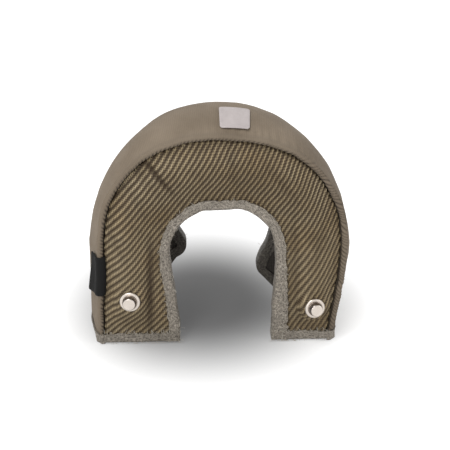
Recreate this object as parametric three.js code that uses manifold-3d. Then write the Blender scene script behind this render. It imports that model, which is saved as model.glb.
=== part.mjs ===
// A turbocharger heat blanket: a horseshoe-shaped quilted cover that stands on its two feet.
// Two sewn walls, front and rear, are joined by a padded rim that arches over both.
// Every wall is a sandwich of woven cover, insulation pad and liner, bound with mesh tape.
// Millimetres. X is the width, Y runs from front (-) to rear (+), Z is up from the floor.
import * as THREE from "three";
import { mergeVertices } from "three/addons/utils/BufferGeometryUtils.js";
import Module from "manifold-3d";

const wasm = await Module();
wasm.setup();

// Outline of the walls, seen from the front.
const seamHalfWidth = { left: 81.8, right: 84.5 }; // centre line to the rim seam
const archCentreHeight = 70; // floor to the centre of the arch
const frontSeam = { rise: 84.5, squareness: 2.3 }; // a squareness of 2 is a plain ellipse
const rearSeam = { rise: 83, squareness: 2 };
const seamToeIn = { left: -2.4, right: 6.5 }; // lean of each foot's outer edge at the floor
const openingHalfWidth = { left: 37, right: 37 };
const openingShift = 2; // the opening sits slightly to the right
const openingRise = 34.5;
const openingSquareness = 2.2;
const openingToeIn = { left: 5.5, right: 2 };
const rearHoleRadius = 35; // the rear wall closes round the turbine's neck
const rearHoleCentre = { x: 5, z: 67 };
const rearNoses = {
  left: { shoulder: [-33, 39], nose: [-18, 46], flank: [-27, 58.5] },
  right: { shoulder: [33, 24], nose: [26, 31], flank: [35.5, 47] },
};
const rearFootHalfWidth = 53;
const hipShare = 0.7; // how much of the way out to the hole's side is made by its middle height

// Depth and layers.
const seamDepth = 68; // front seam to rear seam
const coverThickness = 1.4; // woven cover, at the valleys of the twill
const padEdgeThickness = 6.5; // insulation where it is pinched at the edges
const frontCrown = 7.5; // how far the front wall puffs out
const rearCrown = 5;
const puffRun = { opening: 19, seam: 20, floor: 20 }; // how far the face takes to puff out
const linerThickness = 0.9;
const rimPadThickness = 9.2; // rim insulation inside the seam line
const fitGap = 0.3; // clearance between neighbouring layers
const toolReach = 15; // how far cutting blocks and cutters pass the layers

// Twill of the woven covers: diagonal ridges that fan out slightly to the left.
const twillHeight = 0.7;
const twillAcross = 0.255; // ridges per millimetre of width, at the middle
const twillUpward = 0.165; // ridges per millimetre of height, at the middle
const twillFan = 0.00037; // loss of upward ridges per millimetre of width
const twillBunch = 0.0005; // gain of sideways ridges per millimetre of width
const twillSteps = { front: 7.5, rear: 9 }; // spacing of the cuts along a ridge

// Rim.
const rollRadius = 2.4; // the rolled seam edge of the rim cover
const rollProud = 2.6; // how far the roll stands in front of the seam
const rimBulgeSide = { left: 8.2, right: 5.5 }; // swell of the rim between its rolled edges
const rimBulgeTop = 11;
const rimBulgeFoot = { left: 6.8, right: 2.5 };
const swellTuck = 0.5; // the swell ends this far inside the seams
const swellRoot = 0.8; // share of the roll's radius at which the swell leaves it
const rollEasing = 0.1; // the roll stands this far clear of the seam allowance
const swellFullness = 2; // higher is flatter on top
const foldDepth = 3.5; // seam allowance folded inside the roll

// Mesh tape that binds the raw edges.
const tapeWidth = 7.5;
const tapeThickness = 1;
const flatBeyondTape = 3; // the face starts to puff out this far past the tape

// Labels.
const tagHeight = 30; // black folded tag, along the seam
const tagBase = 40; // its lower edge above the floor
const tagStart = 2.6; // along the rolled edge from the seam
const tagReach = 13.4; // along the rim from there
const tagThickness = 0.9;
const patchWidth = 19; // blank white patch on the rim
const patchLength = 21.5; // from its front edge to its back edge
const patchOffset = 9; // to the right of the middle
const patchFrontEdge = -30.5; // from the middle of the rim
const patchThickness = 0.7;
const patchLift = 0.45; // patch to rim

// Rivets that hold the closing springs.
const flangeRadius = 7.6;
const flangeThickness = 1.1;
const buttonBaseRadius = 5.4;
const buttonTopRadius = 4;
const buttonHeight = 4;
const buttonShoulder = { out: 0.4, down: 0.5 }; // where the button's cone meets its rounded top
const flangeTaper = 0.6; // loss of radius over the flange's thickness
const rivetSink = 0.35; // a rivet's seat above the valleys of the twill
const shankRadius = 2;
const backingRadius = 6.5;
const backingThickness = 1;
const upsetRadius = 3.1; // the rivet's closed end, over the backing washer
const upsetHeight = 1.5;
// Each one's distance in from the seam, its height, and its lean in degrees.
const frontRivets = [
  { side: "left", inFromSeam: 17.4, height: 37.5, turn: -6, lift: 3 },
  { side: "right", inFromSeam: 17.5, height: 29.5, turn: 12, lift: 5 },
];
const rearRivets = [
  { side: "left", inFromSeam: 17.8, height: 32, turn: -5, lift: 3 },
  { side: "right", inFromSeam: 22.5, height: 30, turn: 5, lift: 3 },
];

// Tessellation.
const legHeights = [0, 0.12, 0.24, 0.4, 0.6, 0.8, 1]; // shares of the straight leg
const archSteps = 20;
const acrossShares = [0, 0.16, 0.3, 0.48, 0.68, 0.85, 1];
const roundSteps = 16;
const tagShares = [0, 0.18, 0.36, 0.55, 1]; // across the tag
const solveSteps = 8;
const solveProbe = 0.5;

const halfDepth = seamDepth / 2;
const rimStack = rimPadThickness + fitGap + linerThickness; // rim's inner face, inside the seam
const wallPadBack = halfDepth - coverThickness - fitGap - padEdgeThickness;
const wallLinerBack = wallPadBack - fitGap - linerThickness;
const colours = {
  cover: 0x84775f,
  rim: 0x85796a,
  pad: 0xd8d2c2,
  liner: 0x45413c,
  tape: 0x87837a,
  tag: 0x141312,
  patch: 0xd4cdcb,
  steel: 0xcfc8c2,
};

const part = new THREE.Group();

function addMesh(name, geometry, color, roughness = 0.9, metalness = 0) {
  const mesh = new THREE.Mesh(
    geometry,
    new THREE.MeshStandardMaterial({ color, roughness, metalness }),
  );
  mesh.name = name;
  part.add(mesh);
  return mesh;
}

// Closed solids

// A geometry from points and triangles, turned right side out.
function closedGeometry(points, triangles) {
  let volume = 0;
  for (const [a, b, c] of triangles)
    volume += points[a].dot(points[b].clone().cross(points[c]));
  const faces = volume < 0 ? triangles.map(([a, b, c]) => [a, c, b]) : triangles;
  const geometry = new THREE.BufferGeometry().setFromPoints(points);
  geometry.setIndex(faces.flat());
  return geometry;
}

// Joins loops of equal length, one after another, and closes both ends.
function loft(loops, startProfile, endProfile) {
  const size = loops[0].length;
  const triangles = [];
  for (let i = 0; i + 1 < loops.length; i++)
    for (let j = 0; j < size; j++) {
      const a = i * size + j;
      const b = i * size + ((j + 1) % size);
      triangles.push([a, b, b + size], [a, b + size, a + size]);
    }
  const start = capTriangles(startProfile);
  const end = capTriangles(endProfile ?? startProfile);
  const last = (loops.length - 1) * size;
  for (const [a, b, c] of start) triangles.push([a, c, b]);
  for (const [a, b, c] of end) triangles.push([a + last, b + last, c + last]);
  return closedGeometry(loops.flat(), triangles);
}

// Triangles of a flat profile, all turned the way the profile runs.
function capTriangles(profile) {
  const found = THREE.ShapeUtils.triangulateShape(profile, []);
  const clockwise = THREE.ShapeUtils.isClockWise(profile);
  return found.map(([a, b, c]) => {
    const area = THREE.ShapeUtils.area([profile[a], profile[b], profile[c]]);
    return area < 0 === clockwise ? [a, b, c] : [a, c, b];
  });
}

// A slab between two grids of points of the same size, both cut into the same triangles.
function slab(outer, inner) {
  const rows = outer.length;
  const columns = outer[0].length;
  const rear = rows * columns;
  const triangles = [];
  for (let i = 0; i + 1 < rows; i++)
    for (let j = 0; j + 1 < columns; j++) {
      const a = i * columns + j;
      const d = a + columns;
      triangles.push([a, a + 1, d + 1], [a, d + 1, d]);
      triangles.push([rear + a, rear + d + 1, rear + a + 1], [rear + a, rear + d, rear + d + 1]);
    }
  const rim = [];
  for (let j = 0; j + 1 < columns; j++) rim.push(j);
  for (let i = 0; i + 1 < rows; i++) rim.push(i * columns + columns - 1);
  for (let j = columns - 1; j > 0; j--) rim.push((rows - 1) * columns + j);
  for (let i = rows - 1; i > 0; i--) rim.push(i * columns);
  rim.forEach((a, k) => {
    const b = rim[(k + 1) % rim.length];
    triangles.push([b, a, rear + a], [b, rear + a, rear + b]);
  });
  return closedGeometry([...outer.flat(), ...inner.flat()], triangles);
}

function toManifold(geometry) {
  const bare = new THREE.BufferGeometry();
  bare.setAttribute("position", geometry.getAttribute("position"));
  if (geometry.index) bare.setIndex(geometry.index);
  const merged = mergeVertices(bare, 1e-4);
  return new wasm.Manifold(
    new wasm.Mesh({
      numProp: 3,
      vertProperties: new Float32Array(merged.attributes.position.array),
      triVerts: new Uint32Array(merged.index.array),
    }),
  );
}

function toGeometry(solid) {
  const mesh = solid.getMesh();
  const geometry = new THREE.BufferGeometry();
  geometry.setAttribute(
    "position",
    new THREE.BufferAttribute(new Float32Array(mesh.vertProperties), 3),
  );
  geometry.setIndex(new THREE.BufferAttribute(new Uint32Array(mesh.triVerts), 1));
  return geometry;
}

// Outlines: lists of points (x, z) from the left foot over the arch to the right foot

function smooth(share) {
  const s = THREE.MathUtils.clamp(share, 0, 1);
  return s * s * (3 - 2 * s);
}

// A horseshoe: legs that lean in towards the floor, under a squared-off arch.
function horseshoe({ halfWidth, rise, squareness, toeIn, shift, floor }) {
  const points = [];
  const leg = (side, share) => {
    const z = floor + (archCentreHeight - floor) * share;
    const lean = (side < 0 ? toeIn.left : toeIn.right) * (1 - smooth(z / archCentreHeight));
    const half = side < 0 ? halfWidth.left : halfWidth.right;
    return new THREE.Vector2(shift + side * (half - lean), z);
  };
  for (const share of legHeights) points.push(leg(-1, share));
  for (let i = 1; i < archSteps; i++) {
    const angle = Math.PI * (1 - i / archSteps);
    const c = Math.cos(angle);
    const s = Math.sin(angle);
    const half = c < 0 ? halfWidth.left : halfWidth.right;
    const reach =
      (Math.abs(c / half) ** squareness + Math.abs(s / rise) ** squareness) ** (-1 / squareness);
    points.push(new THREE.Vector2(shift + reach * c, archCentreHeight + reach * s));
  }
  for (const share of [...legHeights].reverse()) points.push(leg(1, share));
  return points;
}

function seamOutline(seam, floor = 0) {
  return horseshoe({
    ...seam,
    halfWidth: seamHalfWidth,
    toeIn: seamToeIn,
    shift: 0,
    floor,
  });
}

function frontOpening(floor = 0) {
  return horseshoe({
    halfWidth: openingHalfWidth,
    rise: openingRise,
    squareness: openingSquareness,
    toeIn: openingToeIn,
    shift: openingShift,
    floor,
  });
}

// The rear wall's opening: a round hole above two rounded noses, and splayed feet.
function rearOpening() {
  const side = (sign, { shoulder, nose, flank }) => {
    const foot = new THREE.Vector2(sign * rearFootHalfWidth, 0);
    const corners = [shoulder, nose, flank].map(([x, z]) => new THREE.Vector2(x, z));
    const bend = new THREE.QuadraticBezierCurve(...corners);
    const hip = new THREE.Vector2(rearHoleCentre.x + sign * rearHoleRadius, rearHoleCentre.z);
    const last = corners[2];
    const rise = new THREE.Vector2(
      THREE.MathUtils.lerp(last.x, hip.x, hipShare),
      (last.y + hip.y) / 2,
    );
    return [foot, foot.clone().lerp(corners[0], 0.5), ...bend.getPoints(2), rise, hip];
  };
  const left = side(-1, rearNoses.left);
  const right = side(1, rearNoses.right).reverse();
  const hole = [];
  for (let i = 1; i < archSteps; i++) {
    const angle = Math.PI * (1 - i / archSteps);
    hole.push(
      new THREE.Vector2(
        rearHoleCentre.x + rearHoleRadius * Math.cos(angle),
        rearHoleCentre.z + rearHoleRadius * Math.sin(angle),
      ),
    );
  }
  return [...left, ...hole, ...right];
}

// Unit vectors at each point of an outline, square to it, away from the arch centre side.
function outwardNormals(points) {
  return points.map((point, i) => {
    const before = points[Math.max(i - 1, 0)];
    const after = points[Math.min(i + 1, points.length - 1)];
    const along = after.clone().sub(before).normalize();
    return new THREE.Vector2(-along.y, along.x);
  });
}

// A place of an outline's end, slid along its last stretch to a level; others stay.
function levelled(place, points, index, floor) {
  const ends = { 0: [0, 1], [points.length - 1]: [points.length - 1, points.length - 2] };
  const pair = ends[index];
  if (!pair) return place;
  const along = points[pair[1]].clone().sub(points[pair[0]]);
  return place.clone().addScaledVector(along, (floor - place.y) / along.y);
}

// An outline moved sideways by a distance, with its two ends on a level floor.
function offsetOutline(points, distance, floor = 0) {
  const normals = outwardNormals(points);
  return points.map((point, i) => {
    const moved = point.clone().addScaledVector(normals[i], distance);
    return levelled(moved, points, i, floor);
  });
}

function distanceTo(points, place) {
  let best = Infinity;
  for (let i = 0; i + 1 < points.length; i++) {
    const along = points[i + 1].clone().sub(points[i]);
    const from = place.clone().sub(points[i]);
    const share = THREE.MathUtils.clamp(from.dot(along) / along.lengthSq(), 0, 1);
    best = Math.min(best, from.addScaledVector(along, -share).length());
  }
  return best;
}

function inside(polygon, place) {
  let within = false;
  for (let i = 0, j = polygon.length - 1; i < polygon.length; j = i++) {
    const a = polygon[i];
    const b = polygon[j];
    const crosses = a.y > place.y !== b.y > place.y;
    if (crosses && place.x < ((b.x - a.x) * (place.y - a.y)) / (b.y - a.y) + a.x) within = !within;
  }
  return within;
}

// Twill: a place on the wall is given by its distances across and along the middle ridge

const twillOrigin = new THREE.Vector2(0, archCentreHeight + frontSeam.rise / 2);
const twillSlope = Math.atan2(twillAcross, twillUpward);

function twillPoint(across, along) {
  return new THREE.Vector2(
    across * Math.sin(twillSlope) + along * Math.cos(twillSlope),
    along * Math.sin(twillSlope) - across * Math.cos(twillSlope),
  ).add(twillOrigin);
}

// Number of ridges between the middle and a place.
function twillTurns(across, along) {
  const place = twillPoint(across, along);
  const up = place.y - twillOrigin.y;
  const sideways = twillAcross + 0.5 * twillBunch * place.x;
  return sideways * place.x - (twillUpward - twillFan * place.x) * up;
}

// The place on a cut where the count of ridges reaches a value.
function twillPlace(turns, along) {
  let across = 0;
  for (let step = 0; step < solveSteps; step++) {
    const here = twillTurns(across, along);
    const rate = (twillTurns(across + solveProbe, along) - here) / solveProbe;
    across += (turns - here) / Math.max(rate, 0.5 * twillAcross);
  }
  return twillPoint(across, along);
}

// Walls

// One quilted wall: its outlines, and how far its face puffs out at a place.
class Wall {
  constructor(choices) {
    Object.assign(this, choices);
    this.polygon = [...this.seam, ...[...this.opening].reverse()];
  }

  // Puff of the face over the seam plane; nothing under the tape and at the seam.
  puff(place) {
    if (!inside(this.polygon, place)) return 0;
    const bare = tapeWidth + flatBeyondTape;
    const fromOpening = distanceTo(this.opening, place) - bare;
    const fromSeam = distanceTo(this.seam, place);
    const fromFloor = place.y - bare;
    return (
      this.crown *
      smooth(fromOpening / puffRun.opening) *
      Math.sin((Math.PI / 2) * smooth(fromSeam / puffRun.seam)) *
      smooth(fromFloor / puffRun.floor)
    );
  }

  // Y of the cover's outer face without its ridges.
  face(place) {
    return this.sign * (halfDepth + this.puff(place));
  }

  // Rows of places between the opening and the seam, with a margin at both edges.
  rows(openingMargin, seamMargin, floor) {
    const inner = offsetOutline(this.opening, openingMargin, floor);
    const outer = offsetOutline(this.seam, -seamMargin, floor);
    return inner.map((start, i) =>
      acrossShares.map((share) => start.clone().lerp(outer[i], share)),
    );
  }

  grid(rows, depthAt) {
    return rows.map((row) => row.map((p) => new THREE.Vector3(p.x, depthAt(p), p.y)));
  }

  // Y at a depth below the face, measured square to the seam plane.
  under(place, depth) {
    return this.face(place) - this.sign * depth;
  }

  get edge() {
    return tapeThickness + fitGap;
  }

  // Woven cover: a smooth quilted sheet trimmed to the wall, with twill ridges on its face.
  cover() {
    const rows = this.rows(this.edge, fitGap, this.edge);
    const far = this.sign * (halfDepth + this.crown + toolReach);
    const body = toManifold(
      slab(
        this.grid(rows, () => far),
        this.grid(rows, (p) => this.under(p, coverThickness)),
      ),
    );
    let sheet = body.intersect(toManifold(this.ridges()));
    for (const rivet of this.rivets) {
      sheet = sheet.subtract(rivetTool(rivet, this, flangeRadius + fitGap, 0, toolReach));
      sheet = sheet.subtract(shankTool(rivet, this));
    }
    return toGeometry(sheet);
  }

  // A block whose face follows the puff and carries the diagonal ridges. Its rows run along
  // the ridges and furrows in turn, and its columns are cuts square to the middle ridge.
  ridges() {
    const span = seamHalfWidth.left + seamHalfWidth.right;
    const reach = Math.hypot(archCentreHeight + frontSeam.rise / 2, span / 2);
    const cuts = 2 * Math.ceil(reach / this.twillStep);
    const face = [];
    const back = [];
    const first = Math.floor(2 * twillTurns(-reach, 0));
    const last = Math.ceil(2 * twillTurns(reach, 0));
    for (let k = first; k <= last; k++) {
      const raised = k % 2 === 0 ? twillHeight : 0;
      const faceRow = [];
      const backRow = [];
      for (let i = 0; i <= cuts; i++) {
        const place = twillPlace(k / 2, (i - cuts / 2) * this.twillStep);
        faceRow.push(new THREE.Vector3(place.x, this.face(place) + this.sign * raised, place.y));
        backRow.push(new THREE.Vector3(place.x, this.sign * (halfDepth - toolReach), place.y));
      }
      face.push(faceRow);
      back.push(backRow);
    }
    return slab(face, back);
  }

  pad() {
    const rows = this.rows(this.edge, fitGap, this.edge);
    const front = this.grid(rows, (p) => this.under(p, coverThickness + fitGap));
    const back = this.grid(rows, () => this.sign * wallPadBack);
    let solid = toManifold(slab(front, back));
    for (const rivet of this.rivets) solid = solid.subtract(shankTool(rivet, this));
    return toGeometry(solid);
  }

  liner() {
    const rows = this.rows(this.edge, rimPadThickness + fitGap, this.edge);
    const ends = rows.map((row) => [row[0], row[row.length - 1]]);
    const front = this.grid(ends, () => this.sign * (wallPadBack - fitGap));
    const back = this.grid(ends, () => this.sign * wallLinerBack);
    let solid = toManifold(slab(front, back));
    for (const rivet of this.rivets) solid = solid.subtract(shankTool(rivet, this));
    return toGeometry(solid);
  }

  // Channel profile of the tape: reach into the wall, and Y.
  tapeProfile() {
    const out = halfDepth + twillHeight + fitGap;
    const back = wallLinerBack - fitGap;
    return [
      [0, out + tapeThickness],
      [tapeWidth, out + tapeThickness],
      [tapeWidth, out],
      [tapeThickness, out],
      [tapeThickness, back],
      [tapeWidth, back],
      [tapeWidth, back - tapeThickness],
      [0, back - tapeThickness],
    ].map(([reach, y]) => new THREE.Vector2(reach, this.sign * y));
  }

  // Tape folded over the opening's edge and along the bottom of both feet.
  tape() {
    const profile = this.tapeProfile();
    const normals = outwardNormals(this.opening);
    const loops = this.opening.map((point, i) =>
      profile.map((corner) => {
        const moved = point.clone().addScaledVector(normals[i], corner.x);
        const place = levelled(moved, this.opening, i, 0);
        return new THREE.Vector3(place.x, corner.y, place.y);
      }),
    );
    let solid = toManifold(loft(loops, profile));
    const corner = profile[3];
    const front = [...profile.slice(0, 4), new THREE.Vector2(corner.x, profile[7].y), profile[7]];
    const back = [profile[7], profile[6], profile[5], new THREE.Vector2(0, profile[5].y)];
    for (const side of [-1, 1]) {
      const start = this.opening.at(side < 0 ? 0 : -1).x + 0.5 * side * tapeThickness;
      const seam = this.seam.at(side < 0 ? 0 : -1).x;
      const runs = [
        [front, seam - side * fitGap],
        [back, seam - side * (rimStack + fitGap)],
      ];
      for (const [section, end] of runs) {
        const run = [start, end].map((x) => section.map((c) => new THREE.Vector3(x, c.y, c.x)));
        solid = solid.add(toManifold(loft(run, section)));
      }
    }
    return toGeometry(solid);
  }
}

// Rivets

// The place on its wall where a rivet goes through.
function rivetPlace({ side, inFromSeam, height }) {
  const sign = side === "left" ? -1 : 1;
  return new THREE.Vector2(sign * (seamHalfWidth[side] - inFromSeam), height);
}

// A rivet's seat on its wall, and which way its axis points.
function rivetFrame(rivet, wall) {
  const place = rivetPlace(rivet);
  const seat = halfDepth + wall.puff(place) + rivetSink;
  const turn = THREE.MathUtils.degToRad(rivet.turn);
  const lift = THREE.MathUtils.degToRad(rivet.lift);
  const axis = new THREE.Vector3(
    Math.sin(turn) * Math.cos(lift),
    wall.sign * Math.cos(turn) * Math.cos(lift),
    Math.sin(lift),
  );
  const turned = new THREE.Quaternion().setFromUnitVectors(new THREE.Vector3(0, 1, 0), axis);
  return new THREE.Matrix4().compose(
    new THREE.Vector3(place.x, wall.sign * seat, place.y),
    turned,
    new THREE.Vector3(1, 1, 1),
  );
}

function turnedSolid(profile) {
  return new THREE.LatheGeometry(
    profile.map(([r, h]) => new THREE.Vector2(r, h)),
    roundSteps,
  );
}

function asTool(geometry, frame) {
  geometry.deleteAttribute("normal");
  geometry.deleteAttribute("uv");
  geometry.applyMatrix4(frame);
  const solid = toManifold(geometry);
  if (solid.volume() > 0) return solid;
  const merged = mergeVertices(geometry, 1e-4);
  const faces = [...merged.index.array];
  for (let i = 0; i < faces.length; i += 3) [faces[i], faces[i + 1]] = [faces[i + 1], faces[i]];
  merged.setIndex(faces);
  return toManifold(merged);
}

function rivetTool(rivet, wall, radius, from, to) {
  const profile = [
    [0, from],
    [radius, from],
    [radius, to],
    [0, to],
  ];
  return asTool(turnedSolid(profile), rivetFrame(rivet, wall));
}

function rivetDepth(wall, rivet) {
  return wall.puff(rivetPlace(rivet)) + rivetSink + halfDepth - wallLinerBack;
}

function shankTool(rivet, wall) {
  const depth = rivetDepth(wall, rivet) + toolReach;
  return rivetTool(rivet, wall, shankRadius + fitGap, -depth, toolReach);
}

// Length of the axis down to the backing washer, which leans with its rivet and clears the liner.
function backingDepth(rivet, wall) {
  const cosine =
    Math.cos(THREE.MathUtils.degToRad(rivet.turn)) * Math.cos(THREE.MathUtils.degToRad(rivet.lift));
  const dip = backingRadius * Math.sqrt(1 - cosine ** 2);
  return (rivetDepth(wall, rivet) + dip + fitGap) / cosine;
}

function addRivet(rivet, wall) {
  const frame = rivetFrame(rivet, wall);
  const seat = fitGap;
  const top = seat + flangeThickness;
  const bore = shankRadius + fitGap;
  const flange = turnedSolid([
    [bore, seat],
    [flangeRadius, seat],
    [flangeRadius - flangeTaper, top],
    [bore, top],
    [bore, seat],
  ]);
  const back = -backingDepth(rivet, wall);
  const baseLevel = top + fitGap;
  const button = turnedSolid([
    [0, back - backingThickness - upsetHeight],
    [upsetRadius, back - backingThickness - 0.6 * upsetHeight],
    [upsetRadius, back - backingThickness - fitGap],
    [shankRadius, back - backingThickness - fitGap],
    [shankRadius, baseLevel],
    [buttonBaseRadius, baseLevel],
    [buttonTopRadius + buttonShoulder.out, baseLevel + buttonHeight - buttonShoulder.down],
    [buttonTopRadius, baseLevel + buttonHeight],
    [0, baseLevel + buttonHeight],
  ]);
  const washer = turnedSolid([
    [bore, back - backingThickness],
    [backingRadius, back - backingThickness],
    [backingRadius, back],
    [bore, back],
    [bore, back - backingThickness],
  ]);
  const label = `${wall.name}_${rivet.side}_rivet`;
  const pieces = { flange, button, backing_washer: washer };
  for (const [piece, geometry] of Object.entries(pieces))
    addMesh(`${label}_${piece}`, toGeometry(asTool(geometry, frame)), colours.steel, 0.25, 1);
}

// Rim

const foldInner = halfDepth + rollProud - rollRadius - foldDepth;
const padLip = foldInner - fitGap;

// The rim is swept along both seams. A station holds a point of each seam and their normals.
function rimStations(floor) {
  const front = rimEdge(frontSeam, floor);
  const rear = rimEdge(rearSeam, floor);
  return front.map((edge, i) => ({ front: edge, rear: rear[i] }));
}

function rimEdge(seam, floor) {
  const points = seamOutline(seam, floor);
  const normals = outwardNormals(points);
  normals[0] = new THREE.Vector2(-1, 0);
  normals[normals.length - 1] = new THREE.Vector2(1, 0);
  return points.map((point, i) => ({ point, normal: normals[i] }));
}

// Swell of the rim over its rolled edges: most at the top of the arch.
function bulgeAt(station) {
  const { point } = station.front;
  const side = point.x < 0 ? "left" : "right";
  const rise = (point.y - archCentreHeight) / frontSeam.rise;
  if (rise >= 0) return THREE.MathUtils.lerp(rimBulgeSide[side], rimBulgeTop, rise ** 4);
  const up = smooth(point.y / archCentreHeight);
  return THREE.MathUtils.lerp(rimBulgeFoot[side], rimBulgeSide[side], up);
}

// Beside each wall the rim keeps to that wall's seam, and it changes over in between.
function rimPlace(station, reach, y) {
  const share = smooth((y + wallLinerBack) / (2 * wallLinerBack));
  const [front, rear] = [station.front, station.rear].map(({ point, normal }) =>
    point.clone().addScaledVector(normal, reach),
  );
  const place = front.lerp(rear, share);
  return new THREE.Vector3(place.x, y, place.y);
}

const rollCentre = {
  reach: rollRadius + fitGap,
  y: halfDepth + rollProud - rollRadius + rollEasing,
};
const swellEdge = halfDepth - swellTuck;
const swellBase = rollCentre.reach + swellRoot * rollRadius;

function swell(y, bulge) {
  const share = Math.min(Math.abs(y) / swellEdge, 1);
  return swellBase + bulge * (1 - share ** swellFullness);
}

// Outer profile from the front seam to the rear seam: reach outwards, and Y.
function rimOutside(bulge) {
  const roll = [];
  for (const degrees of [180, 225, 265, 305, 340]) {
    const angle = THREE.MathUtils.degToRad(degrees);
    roll.push([
      rollCentre.reach + rollRadius * Math.cos(angle),
      -rollCentre.y + rollRadius * Math.sin(angle),
    ]);
  }
  const crest = [-0.94, -0.78, -0.55, -0.28, 0].map((share) => {
    const y = share * swellEdge;
    return [swell(y, bulge), y];
  });
  const frontHalf = [...roll, ...crest];
  const rearHalf = frontHalf.slice(0, -1).map(([reach, y]) => [reach, -y]);
  return [...frontHalf, ...rearHalf.reverse()];
}

// Inner face of a layer that lies a depth under the swell, from rear to front.
function underSwell(bulge, depth, extent) {
  const shares = [1, 0.75, 0.4, 0, -0.4, -0.75, -1];
  return shares.map((share) => [swell(share * extent, bulge) - depth, share * extent]);
}

function rimSweep(stations, profileOf) {
  const profiles = stations.map((station) => profileOf(bulgeAt(station)));
  const loops = stations.map((station, i) =>
    profiles[i].map(([reach, y]) => rimPlace(station, reach, y)),
  );
  const flat = (profile) => profile.map(([reach, y]) => new THREE.Vector2(reach, y));
  return loft(loops, flat(profiles[0]), flat(profiles.at(-1)));
}

function rimCoverProfile(bulge) {
  return [
    ...rimOutside(bulge),
    [fitGap, foldInner],
    ...underSwell(bulge, coverThickness, foldInner),
    [fitGap, -foldInner],
  ];
}

function rimPadProfile(bulge) {
  const depth = coverThickness + fitGap;
  const side = wallPadBack - fitGap;
  return [
    [fitGap, padLip],
    ...underSwell(bulge, depth, padLip),
    [fitGap, -padLip],
    [fitGap, -side],
    [-rimPadThickness, -side],
    [-rimPadThickness, side],
    [fitGap, side],
  ];
}

function rimLinerProfile() {
  const outer = -rimPadThickness - fitGap;
  const side = wallLinerBack - fitGap;
  return [
    [outer, -side],
    [outer, side],
    [outer - linerThickness, side],
    [outer - linerThickness, -side],
  ];
}

// Tape round the bottom end of the rim on one foot: a web under the layers and two upstands.
function rimEndTape(isLeft) {
  const climb = [0, tapeThickness, tapeWidth];
  const pick = (floor) => {
    const stations = rimStations(floor);
    return isLeft ? stations[0] : stations.at(-1);
  };
  const stations = climb.map(pick);
  const bulge = bulgeAt(stations[0]);
  const wallSide = wallLinerBack - fitGap - tapeThickness - fitGap;
  const innerFace = -rimStack - fitGap;
  const outside = rimOutside(bulge).slice(2, -2);
  const grow = (amount) => outside.map(([reach, y]) => [reach + amount, y]);
  const skin = [...grow(fitGap + tapeThickness), ...grow(fitGap).reverse()];
  const web = [
    ...grow(fitGap + tapeThickness),
    [fitGap, outside.at(-1)[1]],
    [fitGap, wallSide],
    [innerFace - tapeThickness, wallSide],
    [innerFace - tapeThickness, -wallSide],
    [fitGap, -wallSide],
    [fitGap, outside[0][1]],
  ];
  const upstand = [
    [innerFace, -wallSide],
    [innerFace, wallSide],
    [innerFace - tapeThickness, wallSide],
    [innerFace - tapeThickness, -wallSide],
  ];
  const swept = (run, profile) => {
    const loops = run.map((s) => profile.map(([reach, y]) => rimPlace(s, reach, y)));
    return toManifold(loft(loops, profile.map(([reach, y]) => new THREE.Vector2(reach, y))));
  };
  const lower = stations.slice(0, 2);
  const whole = [stations[0], stations[2]];
  return toGeometry(swept(lower, web).add(swept(whole, skin)).add(swept(whole, upstand)));
}

// Labels

// Points of the rim's outside at measured lengths from the seam, moved outwards.
function alongRim(bulge, lengths, offset) {
  const outline = rimOutside(bulge).map(([reach, y]) => new THREE.Vector3(reach, y, 0));
  const curve = new THREE.CurvePath();
  for (let i = 0; i + 1 < outline.length; i++)
    curve.add(new THREE.LineCurve3(outline[i], outline[i + 1]));
  const total = curve.getLength();
  return lengths.map((length) => {
    const at = curve.getPointAt(length / total);
    const ahead = curve.getPointAt(Math.min(length + 1, total) / total);
    const behind = curve.getPointAt(Math.max(length - 1, 0) / total);
    const along = ahead.sub(behind).normalize();
    return [at.x + along.y * offset, at.y - along.x * offset];
  });
}

// The tag hangs out of the left seam and lies over the rolled edge.
function sideTag() {
  const lengths = tagShares.map((share) => tagStart + tagReach * share);
  const floors = [0, 1 / 3, 2 / 3, 1].map((share) => tagBase + tagHeight * share);
  const loops = floors.map((height) => {
    const edge = {
      point: new THREE.Vector2(leanAt(height) - seamHalfWidth.left, height),
      normal: new THREE.Vector2(-1, 0),
    };
    const station = { front: edge, rear: edge };
    const bulge = bulgeAt(station);
    const under = alongRim(bulge, lengths, 2 * fitGap);
    const over = alongRim(bulge, lengths, 2 * fitGap + tagThickness).reverse();
    return [...under, ...over].map(([reach, y]) => rimPlace(station, reach, y));
  });
  const flat = [
    ...lengths.map((length) => new THREE.Vector2(0, length)),
    ...[...lengths].reverse().map((length) => new THREE.Vector2(1, length)),
  ];
  return loft(loops, flat);
}

function leanAt(height) {
  return seamToeIn.left * (1 - smooth(height / archCentreHeight));
}

// A blank square patch on top of the rim, bent to its curve.
function topPatch() {
  const shares = [0, 0.25, 0.5, 0.75, 1];
  const surface = (offset) =>
    shares.map((across) =>
      shares.map((back) => {
        const x = patchOffset + patchWidth * (across - 0.5);
        const y = patchFrontEdge + patchLength * back;
        const station = seamStationAt(x);
        return rimPlace(station, swell(y, bulgeAt(station)) + offset, y);
      }),
    );
  return slab(surface(patchLift + patchThickness), surface(patchLift));
}

// The station of the arch that lies above a place across the width.
function seamStationAt(x) {
  const halfWidth = x < 0 ? seamHalfWidth.left : seamHalfWidth.right;
  const across = Math.abs(x / halfWidth);
  const [front, rear] = [frontSeam, rearSeam].map(({ rise, squareness }) => {
    const up = (1 - across ** squareness) ** (1 / squareness);
    const slope = -Math.sign(x) * (rise / halfWidth) * across ** (squareness - 1);
    return {
      point: new THREE.Vector2(x, archCentreHeight + rise * up),
      normal: new THREE.Vector2(-slope, 1).normalize(),
    };
  });
  return { front, rear };
}

// Assembly

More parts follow.
